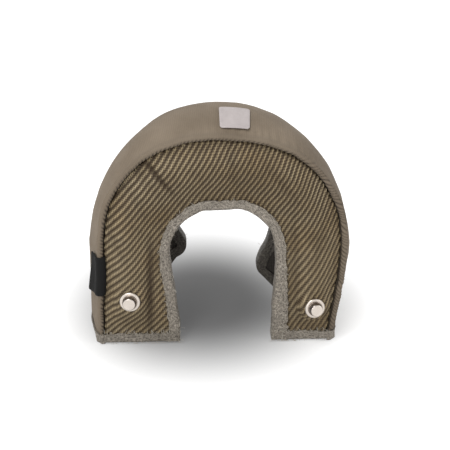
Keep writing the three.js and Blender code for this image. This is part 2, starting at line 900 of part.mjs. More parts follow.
const walls = [
  new Wall({
    name: "front",
    sign: -1,
    seam: seamOutline(frontSeam),
    opening: frontOpening(),
    crown: frontCrown,
    twillStep: twillSteps.front,
    rivets: frontRivets,
  }),
  new Wall({
    name: "rear",
    sign: 1,
    seam: seamOutline(rearSeam),
    opening: rearOpening(),
    crown: rearCrown,
    twillStep: twillSteps.rear,
    rivets: rearRivets,
  }),
];

for (const wall of walls) {
  addMesh(`${wall.name}_cover`, wall.cover(), colours.cover);
  addMesh(`${wall.name}_insulation`, wall.pad(), colours.pad, 1);
  addMesh(`${wall.name}_liner`, wall.liner(), colours.liner, 0.8);
  addMesh(`${wall.name}_edge_tape`, wall.tape(), colours.tape, 0.7, 0.3);
  for (const rivet of wall.rivets) addRivet(rivet, wall);
}

const layers = rimStations(tapeThickness + fitGap);
addMesh("rim_cover", rimSweep(layers, rimCoverProfile), colours.rim);
addMesh("rim_insulation", rimSweep(layers, rimPadProfile), colours.pad, 1);
addMesh("rim_liner", rimSweep(layers, rimLinerProfile), colours.liner, 0.8);
addMesh("left_foot_tape", rimEndTape(true), colours.tape, 0.7, 0.3);
addMesh("right_foot_tape", rimEndTape(false), colours.tape, 0.7, 0.3);
addMesh("side_tag", sideTag(), colours.tag, 0.8);
addMesh("top_patch", topPatch(), colours.patch, 0.6);

// The origin lies on the floor, under the middle of the whole blanket.
part.updateMatrixWorld(true);
const middle = new THREE.Box3().setFromObject(part).getCenter(new THREE.Vector3());
part.position.set(-middle.x, -middle.y, 0);

export default part;
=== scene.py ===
"""A turbocharger heat blanket: woven walls, a gathered rim, mesh tape, rivets and labels.

Sizes are in millimetres in the blanket's own frame, whose origin lies between the two walls.
The bench moves them into the shared frame and turns them into metres.
"""

from __future__ import annotations

import logging
import math
from dataclasses import dataclass, field
from enum import Enum
from functools import reduce
from typing import Callable, Iterable

import bmesh
import bpy
import numpy as np
from mathutils import Matrix, Vector


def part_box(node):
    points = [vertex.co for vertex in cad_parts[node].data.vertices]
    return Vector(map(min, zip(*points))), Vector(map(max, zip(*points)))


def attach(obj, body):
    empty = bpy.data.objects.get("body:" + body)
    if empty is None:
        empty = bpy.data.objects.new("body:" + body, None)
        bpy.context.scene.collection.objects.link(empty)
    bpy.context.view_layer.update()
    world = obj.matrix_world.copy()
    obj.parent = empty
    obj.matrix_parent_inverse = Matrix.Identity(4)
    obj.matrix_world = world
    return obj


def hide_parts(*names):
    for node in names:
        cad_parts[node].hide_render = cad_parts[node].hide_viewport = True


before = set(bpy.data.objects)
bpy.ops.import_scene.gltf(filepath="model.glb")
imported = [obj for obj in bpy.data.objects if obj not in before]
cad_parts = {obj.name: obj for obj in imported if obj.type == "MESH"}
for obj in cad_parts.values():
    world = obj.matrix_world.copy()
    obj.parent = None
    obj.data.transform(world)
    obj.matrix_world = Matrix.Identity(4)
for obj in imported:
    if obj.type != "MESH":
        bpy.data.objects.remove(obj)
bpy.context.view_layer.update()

Array = np.ndarray
Piece = bpy.types.Object
Socket = bpy.types.NodeSocket

LOG = logging.getLogger("heat_blanket")
MM = 0.001
BODY = "root"

ARCH_CENTRE = 70.0
HALF_DEPTH = 34.0
COVER_THICKNESS = 1.4
LINER_THICKNESS = 0.9
FIT_GAP = 0.3
PAD_BACK = HALF_DEPTH - COVER_THICKNESS - FIT_GAP - 6.5
LINER_BACK = PAD_BACK - FIT_GAP - LINER_THICKNESS
RIM_PAD = 9.2
RIM_STACK = RIM_PAD + FIT_GAP + LINER_THICKNESS
TAPE_WIDTH = 7.5
TAPE_THICKNESS = 1.0
TAPE_FACE = HALF_DEPTH + 0.7 + FIT_GAP


class Slot(Enum):
    """The record's material slots."""

    COVER = "woven_cover"
    RIM = "rim_cloth"
    PAD = "insulation"
    LINER = "liner_cloth"
    TAPE = "mesh_tape"
    TAG = "tag_cloth"
    PATCH = "patch_cloth"
    STEEL = "stud_steel"


class Side(Enum):
    """The two walls, as the sign of their Y."""

    FRONT = -1
    REAR = 1


def smooth(share: Array) -> Array:
    """Return a soft step from 0 to 1."""
    s = np.clip(share, 0.0, 1.0)
    return s * s * (3.0 - 2.0 * s)


def mix(low: Array, high: Array, share: Array) -> Array:
    """Return the value a share of the way from low to high."""
    return low + (high - low) * share


class Unevenness:
    """Soft noise over a plane, the same on every run."""

    CELLS = 64

    def __init__(self, seed: int) -> None:
        """Draw the noise's lattice."""
        draw = np.random.default_rng(seed)
        self.lattice = draw.uniform(-1.0, 1.0, (self.CELLS, self.CELLS))

    def at(self, a: Array, b: Array, size: float) -> Array:
        """Return the noise at places.

        Args:
            a: First coordinates.
            b: Second coordinates.
            size: Distance between one bump and the next.

        Returns:
            Values from -1 to 1.
        """
        a, b = np.broadcast_arrays(np.asarray(a) / size, np.asarray(b) / size)
        i = np.floor(a).astype(int)
        j = np.floor(b).astype(int)
        s = smooth(a - i)
        t = smooth(b - j)

        def corner(di: int, dj: int) -> Array:
            """Return the lattice value at one corner of each cell."""
            return self.lattice[(i + di) % self.CELLS, (j + dj) % self.CELLS]

        near = mix(corner(0, 0), corner(1, 0), s)
        far = mix(corner(0, 1), corner(1, 1), s)
        return mix(near, far, t)

    def waves(self, a: Array, b: Array, broad: tuple, fine: tuple) -> Array:
        """Return broad noise with finer noise on it, each given as its height and size."""
        return broad[0] * self.at(a, b, broad[1]) + fine[0] * self.at(b, a, fine[1])


# Outlines, as points (x, z) from the left foot over the arch to the right foot


def square_normals(points: Array) -> Array:
    """Return unit vectors square to an outline, pointing away from what it encloses."""
    along = np.gradient(points, axis=0)
    along /= np.linalg.norm(along, axis=1)[:, None]
    return np.stack([-along[:, 1], along[:, 0]], axis=1)


def levelled(points: Array, floor: float) -> Array:
    """Return an outline cut or drawn out so that both its ends lie at a height."""
    kept = points[np.concatenate([[True], points[1:-1, 1] > floor, [True]])]
    for end, inner in ((0, 1), (-1, -2)):
        along = kept[end] - kept[inner]
        kept[end] = kept[inner] + along * (floor - kept[inner][1]) / along[1]
    return kept


def offset(points: Array, distance: float, floor: float) -> Array:
    """Return an outline moved outwards by a distance, with its ends at a height."""
    return levelled(points + square_normals(points) * distance, floor)


def rounded(points: Array, passes: int) -> Array:
    """Return an outline whose corners are cut again and again until they are round."""
    for _ in range(passes):
        first = 0.75 * points[:-1] + 0.25 * points[1:]
        second = 0.25 * points[:-1] + 0.75 * points[1:]
        cut = np.stack([first, second], axis=1).reshape(-1, 2)
        points = np.concatenate([points[:1], cut, points[-1:]])
    return points


def run_along(points: Array) -> Array:
    """Return each point's distance along an outline."""
    return np.concatenate([[0.0], np.cumsum(np.linalg.norm(np.diff(points, axis=0), axis=1))])


def respaced(points: Array, step: float) -> tuple[Array, Array]:
    """Return an outline in even steps.

    Args:
        points: The outline.
        step: Wanted distance between points.

    Returns:
        The points, and each one's distance along the outline.
    """
    lengths = run_along(points)
    run = np.linspace(0.0, lengths[-1], max(2, round(lengths[-1] / step) + 1))
    return np.stack([np.interp(run, lengths, points[:, k]) for k in (0, 1)], axis=1), run


def nearest(line: Array, places: Array) -> tuple[Array, Array, Array]:
    """Find the nearest point of a line of points to each place.

    Args:
        line: The points of the line.
        places: The places.

    Returns:
        The distances, the nearest points, and their distances along the line.
    """
    start = line[:-1]
    along = line[1:] - start
    length = np.linalg.norm(along, axis=1)
    before = np.concatenate([[0.0], np.cumsum(length)])[:-1]
    found = []
    for block in np.array_split(places, max(1, len(places) // 3000)):
        from_start = block[:, None, :] - start[None]
        share = np.clip((from_start * along).sum(2) / (length**2)[None], 0.0, 1.0)
        foot = start[None] + share[:, :, None] * along[None]
        gap = np.linalg.norm(block[:, None, :] - foot, axis=2)
        best = gap.argmin(1)
        row = np.arange(len(block))
        found.append((gap[row, best], foot[row, best], before[best] + share[row, best] * length[best]))
    return tuple(np.concatenate(column) for column in zip(*found))


def along_outline(outline: Array, run: Array, lift: Array) -> Array:
    """Return points at lengths along an outline, lifted off it."""
    lengths = run_along(outline)
    before, at, after = (
        np.stack([np.interp(run + shift, lengths, outline[:, k]) for k in (0, 1)], axis=1)
        for shift in (-1.0, 0.0, 1.0)
    )
    direction = after - before
    direction /= np.linalg.norm(direction, axis=1)[:, None]
    outward = np.stack([-direction[:, 1], direction[:, 0]], axis=1)
    outward *= np.sign((outward * (at - outline.mean(axis=0) + [8.0, 0.0])).sum(1))[:, None]
    return at + outward * np.asarray(lift)[:, None]


def within(polygon: Array, places: Array) -> Array:
    """Return which places lie inside a closed polygon."""
    inside = np.zeros(len(places), dtype=bool)
    x, z = places[:, 0], places[:, 1]
    for a, b in zip(polygon, np.roll(polygon, -1, axis=0)):
        if a[1] == b[1]:
            continue
        crosses = (a[1] > z) != (b[1] > z)
        inside ^= crosses & (x < (b[0] - a[0]) * (z - a[1]) / (b[1] - a[1]) + a[0])
    return inside


@dataclass(frozen=True)
class Horseshoe:
    """Legs that lean in towards the floor, under a squared-off arch."""

    half_left: float
    half_right: float
    rise: float
    squareness: float
    toe_left: float
    toe_right: float
    shift: float = 0.0

    def points(self, floor: float = 0.0, leg_steps: int = 36, arch_steps: int = 180) -> Array:
        """Return the outline's points."""
        z = np.linspace(floor, ARCH_CENTRE, leg_steps + 1)
        lean = 1.0 - smooth(z / ARCH_CENTRE)
        left = np.stack([self.shift - self.half_left + self.toe_left * lean, z], axis=1)
        right = np.stack([self.shift + self.half_right - self.toe_right * lean, z], axis=1)
        angle = np.pi * (1.0 - np.arange(1, arch_steps) / arch_steps)
        c, s = np.cos(angle), np.sin(angle)
        half = np.where(c < 0, self.half_left, self.half_right)
        power = np.abs(c / half) ** self.squareness
        power += np.abs(s / self.rise) ** self.squareness
        reach = power ** (-1.0 / self.squareness)
        arch = np.stack([self.shift + reach * c, ARCH_CENTRE + reach * s], axis=1)
        return np.concatenate([left, arch, right[::-1]])


FRONT_SEAM = Horseshoe(81.8, 84.5, 84.5, 2.3, -2.4, 6.5)
REAR_SEAM = Horseshoe(81.8, 84.5, 83.0, 2.0, -2.4, 6.5)
FRONT_OPENING = Horseshoe(37.0, 37.0, 34.5, 2.2, 5.5, 2.0, shift=2.0)
SEAM_SWAY = 0.8
OPENING_SWAY = 1.1
BROAD_SWAY = (0.7, 15.0)
FINE_SWAY = (0.45, 6.0)
STEADY_HEIGHT = 12.0


def swayed(points: Array, amount: float) -> Array:
    """Return a sewn outline that wavers a little, except at the floor."""
    noise = Unevenness(3)
    x, z = points[:, 0], points[:, 1]
    shift = amount * noise.waves(x, z, BROAD_SWAY, FINE_SWAY)
    return points + square_normals(points) * (shift * smooth(z / STEADY_HEIGHT))[:, None]


@dataclass(frozen=True)
class NeckOpening:
    """The rear opening: a round hole above two rounded noses, and splayed feet."""

    radius: float = 35.0
    centre: tuple[float, float] = (5.0, 67.0)
    foot_half_width: float = 53.0
    left: tuple = ((-33.0, 39.0), (-18.0, 46.0), (-27.0, 58.5))
    right: tuple = ((33.0, 24.0), (26.0, 31.0), (35.5, 47.0))
    hip_share: float = 0.7
    bend_steps: int = 6
    arch_steps: int = 90

    def side(self, sign: int, bend: tuple) -> Array:
        """Return one side from the foot up to the hole's widest level."""
        shoulder, nose, flank = (np.array(point) for point in bend)
        foot = np.array([sign * self.foot_half_width, 0.0])
        hip = np.array([self.centre[0] + sign * self.radius, self.centre[1]])
        t = np.linspace(0.0, 1.0, self.bend_steps)[:, None]
        curve = (1 - t) ** 2 * shoulder + 2 * t * (1 - t) * nose + t**2 * flank
        rise = np.array([mix(flank[0], hip[0], self.hip_share), (flank[1] + hip[1]) / 2])
        return np.concatenate([[foot, (foot + shoulder) / 2], curve, [rise, hip]])

    def points(self) -> Array:
        """Return the outline's points."""
        angle = np.pi * (1.0 - np.arange(1, self.arch_steps) / self.arch_steps)
        arch = np.stack([np.cos(angle), np.sin(angle)], axis=1) * self.radius + self.centre
        left = self.side(-1, self.left)
        right = self.side(1, self.right)[::-1]
        return rounded(np.concatenate([left, arch, right]), 1)


# Meshes


@dataclass
class Shell:
    """Points and faces of one closed piece, in the blanket's millimetres, with what they carry."""

    points: Array
    faces: list
    pattern: Array | None = None
    # Painted shade share of each point, which the materials read.
    relief_and_shade: Array | None = None

    def joined(self, other: Shell) -> Shell:
        """Return this shell and another as one."""
        shifted = [[index + len(self.points) for index in face] for face in other.faces]
        both = [
            None if mine is None or theirs is None else np.concatenate([mine, theirs])
            for mine, theirs in ((self.pattern, other.pattern), (self.relief_and_shade, other.relief_and_shade))
        ]
        return Shell(np.concatenate([self.points, other.points]), self.faces + shifted, *both)


def swept(points: Array, pattern: Array, relief_and_shade: Array | None = None) -> Shell:
    """Close a stack of equal loops into a solid with flat ends.

    Args:
        points: Places, as loops by places by 3.
        pattern: Pattern coordinates, as loops by places by 2.
        relief_and_shade: Relief and painted shade, as loops by places.

    Returns:
        The closed shell.
    """
    loops, size = points.shape[:2]
    index = np.arange(loops * size).reshape(loops, size)
    ahead = np.roll(index, -1, axis=1)
    quads = np.stack([index[:-1], ahead[:-1], ahead[1:], index[1:]], axis=-1).reshape(-1, 4)
    faces = quads.tolist() + [index[0][::-1].tolist(), index[-1].tolist()]
    flat_relief = None if relief_and_shade is None else relief_and_shade.reshape(-1)
    return Shell(points.reshape(-1, 3), faces, pattern.reshape(-1, 2), flat_relief)


def sandwich(keep: Array, front: Array, back: Array) -> tuple[list, Array]:
    """Join the kept cells of two grids of points with walls round their edge.

    Args:
        keep: Which cells are kept, as rows by columns.
        front: Indices of the front points, one more each way than the cells.
        back: Indices of the back points.

    Returns:
        The faces, and the indices of all points in use.
    """
    faces = []
    for grid, turned in ((front, False), (back, True)):
        corners = [grid[:-1, :-1], grid[:-1, 1:], grid[1:, 1:], grid[1:, :-1]]
        quads = np.stack(corners, axis=-1)[keep]
        faces.append(quads[:, ::-1] if turned else quads)
    fore = faces[0]
    start = fore.reshape(-1)
    end = np.roll(fore, -1, axis=1).reshape(-1)
    span = int(back.max()) + 1
    single = ~np.isin(start * span + end, end * span + start)
    shift = int(back.flat[0] - front.flat[0])
    a, b = start[single], end[single]
    faces.append(np.stack([b, a, a + shift, b + shift], axis=-1))
    every = np.concatenate(faces)
    return every.tolist(), np.unique(every)


class Bench:
    """Makes Blender pieces of shells, in the shared frame, and says where they belong."""

    def __init__(self) -> None:
        """Find the blanket's own origin from the rim liner's right side and its depth."""
        low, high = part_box("rim_liner")
        right = (FRONT_SEAM.half_right - RIM_PAD - FIT_GAP) * MM
        self.origin = np.array([high[0] - right, (low[1] + high[1]) / 2, 0.0])
        self.made = 0

    def metres(self, points: Array) -> Array:
        """Return points of the blanket's millimetres in the shared frame."""
        return points * MM + self.origin

    def add(self, name: str, shell: Shell, sharp: float = 50.0) -> Piece:
        """Make a smooth mesh piece of a shell.

        Args:
            name: The piece's name.
            shell: Its points and faces.
            sharp: Angle in degrees past which an edge stays sharp.

        Returns:
            The new object.
        """
        mesh = bpy.data.meshes.new(name)
        mesh.from_pydata(self.metres(shell.points).tolist(), [], shell.faces)
        mesh.validate()
        # Each point's painted shade share goes on the mesh for the materials to read.
        if shell.relief_and_shade is not None:
            relief_and_shade = mesh.attributes.new("relief_and_shade", "FLOAT", "POINT")
            relief_and_shade.data.foreach_set("value", shell.relief_and_shade.astype(np.float32))
        if shell.pattern is not None:
            corner = np.zeros(len(mesh.loops), dtype=np.int32)
            mesh.loops.foreach_get("vertex_index", corner)
            layer = mesh.uv_layers.new(name="pattern")
            layer.data.foreach_set("uv", shell.pattern[corner].astype(np.float32).reshape(-1))
        self.turn_out(mesh)
        mesh.shade_smooth()
        mesh.set_sharp_from_angle(angle=math.radians(sharp))
        piece = bpy.data.objects.new(name, mesh)
        bpy.context.scene.collection.objects.link(piece)
        return piece

    @staticmethod
    def turn_out(mesh: bpy.types.Mesh) -> None:
        """Turn a closed mesh's faces outwards."""
        work = bmesh.new()
        work.from_mesh(mesh)
        if work.calc_volume(signed=True) < 0.0:
            bmesh.ops.reverse_faces(work, faces=work.faces[:])
            work.to_mesh(mesh)
        work.free()

    def seat(self, piece: Piece, slot: Slot, *nodes: str) -> Piece:
        """Let a piece ride on the blanket, in place of CAD nodes."""
        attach(piece, BODY)
        if nodes:
            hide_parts(*nodes)
        self.made += 1
        LOG.info("%s: %d faces", piece.name, len(piece.data.polygons))
        return piece


# Walls


@dataclass(frozen=True)
class Twill:
    """Diagonal ridges that fan out to the left, woven of upright and level yarns."""

    across: float = 0.255
    upward: float = 0.165
    fan: float = 0.00037
    bunch: float = 0.0005
    origin_height: float = 112.25
    bead_across: float = -0.522
    bead_upward: float = -0.333
    depth: float = 1.15
    groove: float = 0.62
    warp_lift: float = 0.5
    weft_lift: float = 0.02

    def counts(self, x: Array, z: Array) -> tuple[Array, Array]:
        """Return how many ridges and beads lie between the middle and places."""
        up = z - self.origin_height
        ridges = (self.across + 0.5 * self.bunch * x) * x - (self.upward - self.fan * x) * up
        return ridges, self.bead_across * x + self.bead_upward * up

    def yarns(self, places: Array) -> tuple[Array, Array]:
        """Return the level and upright yarn numbers at places."""
        ridges, beads = self.counts(places[:, 0], places[:, 1])
        return 2 * ridges + beads, beads - 2 * ridges

    def places(self, weft: Array, warp: Array) -> tuple[Array, Array]:
        """Find the places with given yarn numbers.

        Args:
            weft: Level yarn numbers.
            warp: Upright yarn numbers.

        Returns:
            The places' x and z.
        """
        ridges = (weft - warp) / 4
        beads = (weft + warp) / 2
        x = np.zeros_like(ridges)
        z = np.full_like(ridges, self.origin_height)
        for _ in range(10):
            now, bead = self.counts(x, z)
            miss, slip = ridges - now, beads - bead
            dx = self.across + self.bunch * x + self.fan * (z - self.origin_height)
            dz = -(self.upward - self.fan * x)
            spread = dx * self.bead_upward - dz * self.bead_across
            x = x + np.clip((miss * self.bead_upward - dz * slip) / spread, -60, 60)
            z = z + np.clip((dx * slip - miss * self.bead_across) / spread, -60, 60)
        return x, z

    def relief_and_shade(self, weft: Array, warp: Array) -> Array:
        """Return the height of a two-over, two-under twill at yarn numbers."""

        def strand(number: Array, along: Array, lift: float) -> Array:
            """Return the height of the strand at a number, at places along it."""
            edge = 1.0 - np.sin(np.pi * number) ** 2
            lower, upper = np.ceil(number) - 1, np.floor(number)
            wave = (np.sin(np.pi / 2 * (along - lower)) + np.sin(np.pi / 2 * (along - upper))) / 2
            return lift * wave - self.groove * edge

        row = weft + 0.5
        return np.maximum(strand(warp, row, self.warp_lift), strand(row, warp + 3, self.weft_lift))

    @staticmethod
    def rib(weft: Array, warp: Array) -> Array:
        """Return how near places are to the top of a diagonal ridge, from 0 to 1."""
        return np.cos(np.pi * (weft - warp) / 4) ** 2


@dataclass(frozen=True)
class TwillTone:
    """How light the twill is painted: painted shade in the gaps from its relief, a little painted light
    on the ridge tops, and more painted contrast and darker gaps higher up the wall.
    """

    low: float = -0.66
    span: float = 1.14
    middle: float = 0.56
    contrast: float = 0.9
    contrast_base: float = 70.0
    contrast_rise: float = 45.0
    valley_shade: float = 0.74
    valley_fall: float = 0.22
    valley_base: float = 60.0
    valley_rise: float = 55.0
    ridge: float = 1.06
    # Share by which the painted shade in the folds darkens the twill.
    soot_and_shade: float = 0.6

    def light(self, relief_and_shade: Array, rib: Array, z: Array, crease_shade: Array) -> Array:
        """Return the share of painted light at places.

        Args:
            relief_and_shade: The twill's relief.
            rib: How near a place is to the top of a ridge.
            z: Height over the floor.
            crease_shade: The painted shade in the folds.

        Returns:
            Shares, where 0 is the colour of the gaps and 1 that of the ridges.
        """
        share = np.clip((relief_and_shade - self.low) / self.span, 0.0, 1.0)
        # Painted shade: contrast grows and the gaps darken higher up the wall, and ridge tops are painted
        # a little lighter.
        contrast = 1.0 + self.contrast * smooth((z - self.contrast_base) / self.contrast_rise)
        share = np.clip(self.middle + (share - self.middle) * contrast, 0.0, 1.0)
        high = smooth((z - self.valley_base) / self.valley_rise)
        share = share * mix(self.valley_shade - self.valley_fall * high, self.ridge, rib)
        return share * (1.0 - self.soot_and_shade * crease_shade)


@dataclass(frozen=True)
class Crease:
    """A soft fold in a padded wall, from one place to another."""

    start: tuple[float, float]
    end: tuple[float, float]
    width: float
    depth: float

    def dent(self, places: Array) -> Array:
        """Return how deep the fold is at places."""
        line = np.array([self.start, self.end])
        gap, _, run = nearest(line, places)
        share = run / np.linalg.norm(line[1] - line[0])
        return self.depth * np.exp(-((gap / self.width) ** 2)) * (0.35 + 0.65 * np.sin(np.pi * share))


@dataclass(frozen=True)
class RivetPlace:
    """Where a rivet goes through its wall, and how it leans, in degrees."""

    wall: Side
    side: str
    x: float
    z: float
    turn: float
    lift: float

    def axis(self) -> Array:
        """Return the rivet's axis."""
        turn, lift = math.radians(self.turn), math.radians(self.lift)
        level = math.cos(lift)
        across = math.sin(turn) * level
        return np.array([across, self.wall.value * math.cos(turn) * level, math.sin(lift)])

    def label(self) -> str:
        """Return the start of the rivet's node names."""
        return f"{self.wall.name.lower()}_{self.side}_rivet"


@dataclass
class Wall:
    """One quilted wall: its outlines, and how far its face puffs out."""

    side: Side
    seam: Array
    opening: Array
    crown: float
    rivets: tuple[RivetPlace, ...]
    creases: tuple[Crease, ...]
    seed: int
    opening_run: float = 19.0
    seam_run: float = 20.0
    floor_run: float = 20.0
    bare: float = TAPE_WIDTH + 3.0
    pucker_spacing: float = 7.0
    pucker_depth: float = 1.3
    pucker_reach: float = 7.0
    press_radius: float = 8.2
    press_run: float = 5.0
    broad_swell: tuple[float, float] = (0.7, 26.0)
    fine_swell: tuple[float, float] = (0.25, 9.0)
    # Painted shade in the folds: which folds get it, how much the shallow ones get, and the fold depth at
    # which it is full.
    shaded_crease_depth: float = 0.9
    sharp_depth: float = 2.2
    shallow_crease_shade: float = 0.35
    full_shade_depth: float = 2.3

    @property
    def name(self) -> str:
        """Return the wall's name, which starts its node names."""
        return self.side.name.lower()

    def polygon(self, seam_gap: float, opening_gap: float, floor: float) -> Array:
        """Return the wall's outline as a closed polygon with margins at its edges."""
        outer = offset(self.seam, -seam_gap, floor)
        inner = offset(self.opening, opening_gap, floor)
        return np.concatenate([outer, inner[::-1]])

    def puff(self, places: Array) -> Array:
        """Return how far the face stands out over the seam plane at places."""
        from_opening = nearest(self.opening, places)[0] - self.bare
        from_seam = nearest(self.seam, places)[0]
        open_share = smooth(from_opening / self.opening_run)
        seam_share = np.sin(np.pi / 2 * smooth(from_seam / self.seam_run))
        floor_share = smooth((places[:, 1] - self.bare) / self.floor_run)
        outline = np.concatenate([self.seam, self.opening[::-1]])
        return np.where(within(outline, places), self.crown * open_share * seam_share * floor_share, 0)

    def crease_shade(self, places: Array) -> Array:
        """Return the painted shade in the sharp folds at places, from 0 to 1."""
        depth = np.zeros(len(places))
        for crease in self.creases:
            if crease.depth > self.shaded_crease_depth:
                sharpness = 1.0 if crease.depth > self.sharp_depth else self.shallow_crease_shade
                depth = np.maximum(depth, sharpness * crease.dent(places) / self.full_shade_depth)
        return np.clip(depth, 0.0, 1.0)

    def seat(self, rivet: RivetPlace) -> float:
        """Return how far from the middle plane a rivet's seat is."""
        return HALF_DEPTH + float(self.puff(np.array([[rivet.x, rivet.z]]))[0]) + 0.35

    def soft_face(self, places: Array) -> Array:
        """Return the face's distance from the middle plane, with its folds and puckers."""
        noise = Unevenness(self.seed)
        x, z = places[:, 0], places[:, 1]
        puff = self.puff(places)
        loose = smooth(puff / 3.0)
        face = HALF_DEPTH + 0.2 + puff
        face += loose * noise.waves(x, z, self.broad_swell, self.fine_swell)
        for crease in self.creases:
            face -= crease.dent(places) * mix(0.15, 1.0, loose)
        gap, _, run = nearest(self.seam, places)
        phase = run / self.pucker_spacing + 0.8 * noise.at(run, 0 * run, 21.0)
        strength = 0.55 + 0.45 * noise.at(run, 5.0 + 0 * run, 34.0)
        pull = np.sin(np.pi * phase) ** 4 * strength * np.exp(-gap / self.pucker_reach)
        face -= self.pucker_depth * pull * smooth((places[:, 1] - 8.0) / 10.0)
        face -= 1.1 * (1.0 - smooth(gap / 1.8))
        for rivet in self.rivets:
            face = self.pressed(face, places, rivet)
        return face

    def pressed(self, face: Array, places: Array, rivet: RivetPlace) -> Array:
        """Return the face pressed flat under a rivet's flange."""
        axis = rivet.axis()
        away = places - np.array([rivet.x, rivet.z])
        tilt = away[:, 0] * axis[0] + away[:, 1] * axis[2]
        plane = self.seat(rivet) - 0.3 - tilt / abs(axis[1])
        share = smooth((np.linalg.norm(away, axis=1) - self.press_radius) / self.press_run)
        return mix(plane, face, share)


FRONT_RIVETS = (
    RivetPlace(Side.FRONT, "left", -64.4, 37.5, -6, 3),
    RivetPlace(Side.FRONT, "right", 67.0, 29.5, 12, 5),
)
REAR_RIVETS = (
    RivetPlace(Side.REAR, "left", -64.0, 32.0, -5, 3),
    RivetPlace(Side.REAR, "right", 62.0, 30.0, 5, 3),
)
FRONT_CREASES = (
    Crease((-56, 146), (-33, 120), 2.0, 2.6),
    Crease((-49, 149), (-24, 126), 5.0, -2.0),
    Crease((-62, 140), (-44, 118), 3.6, 1.6),
    Crease((-49, 84), (-51, 8), 2.4, 2.3),
    Crease((-40, 96), (-47, 70), 3.0, 1.2),
    Crease((51, 98), (56, 14), 2.8, 1.7),
    Crease((33, 149), (64, 108), 6.0, -1.5),
    Crease((28, 140), (52, 112), 3.0, 1.4),
    Crease((-78, 92), (-64, 62), 3.2, 1.3),
    Crease((-68, 128), (-52, 104), 3.5, 1.1),
    Crease((6, 152), (10, 122), 3.5, 1.2),
    Crease((72, 96), (66, 60), 4.0, 1.2),
)
REAR_CREASES = (
    Crease((-44, 140), (-30, 112), 4.0, 1.0),
    Crease((50, 136), (30, 112), 4.0, 1.1),
    Crease((62, 90), (58, 46), 3.5, 1.0),
)


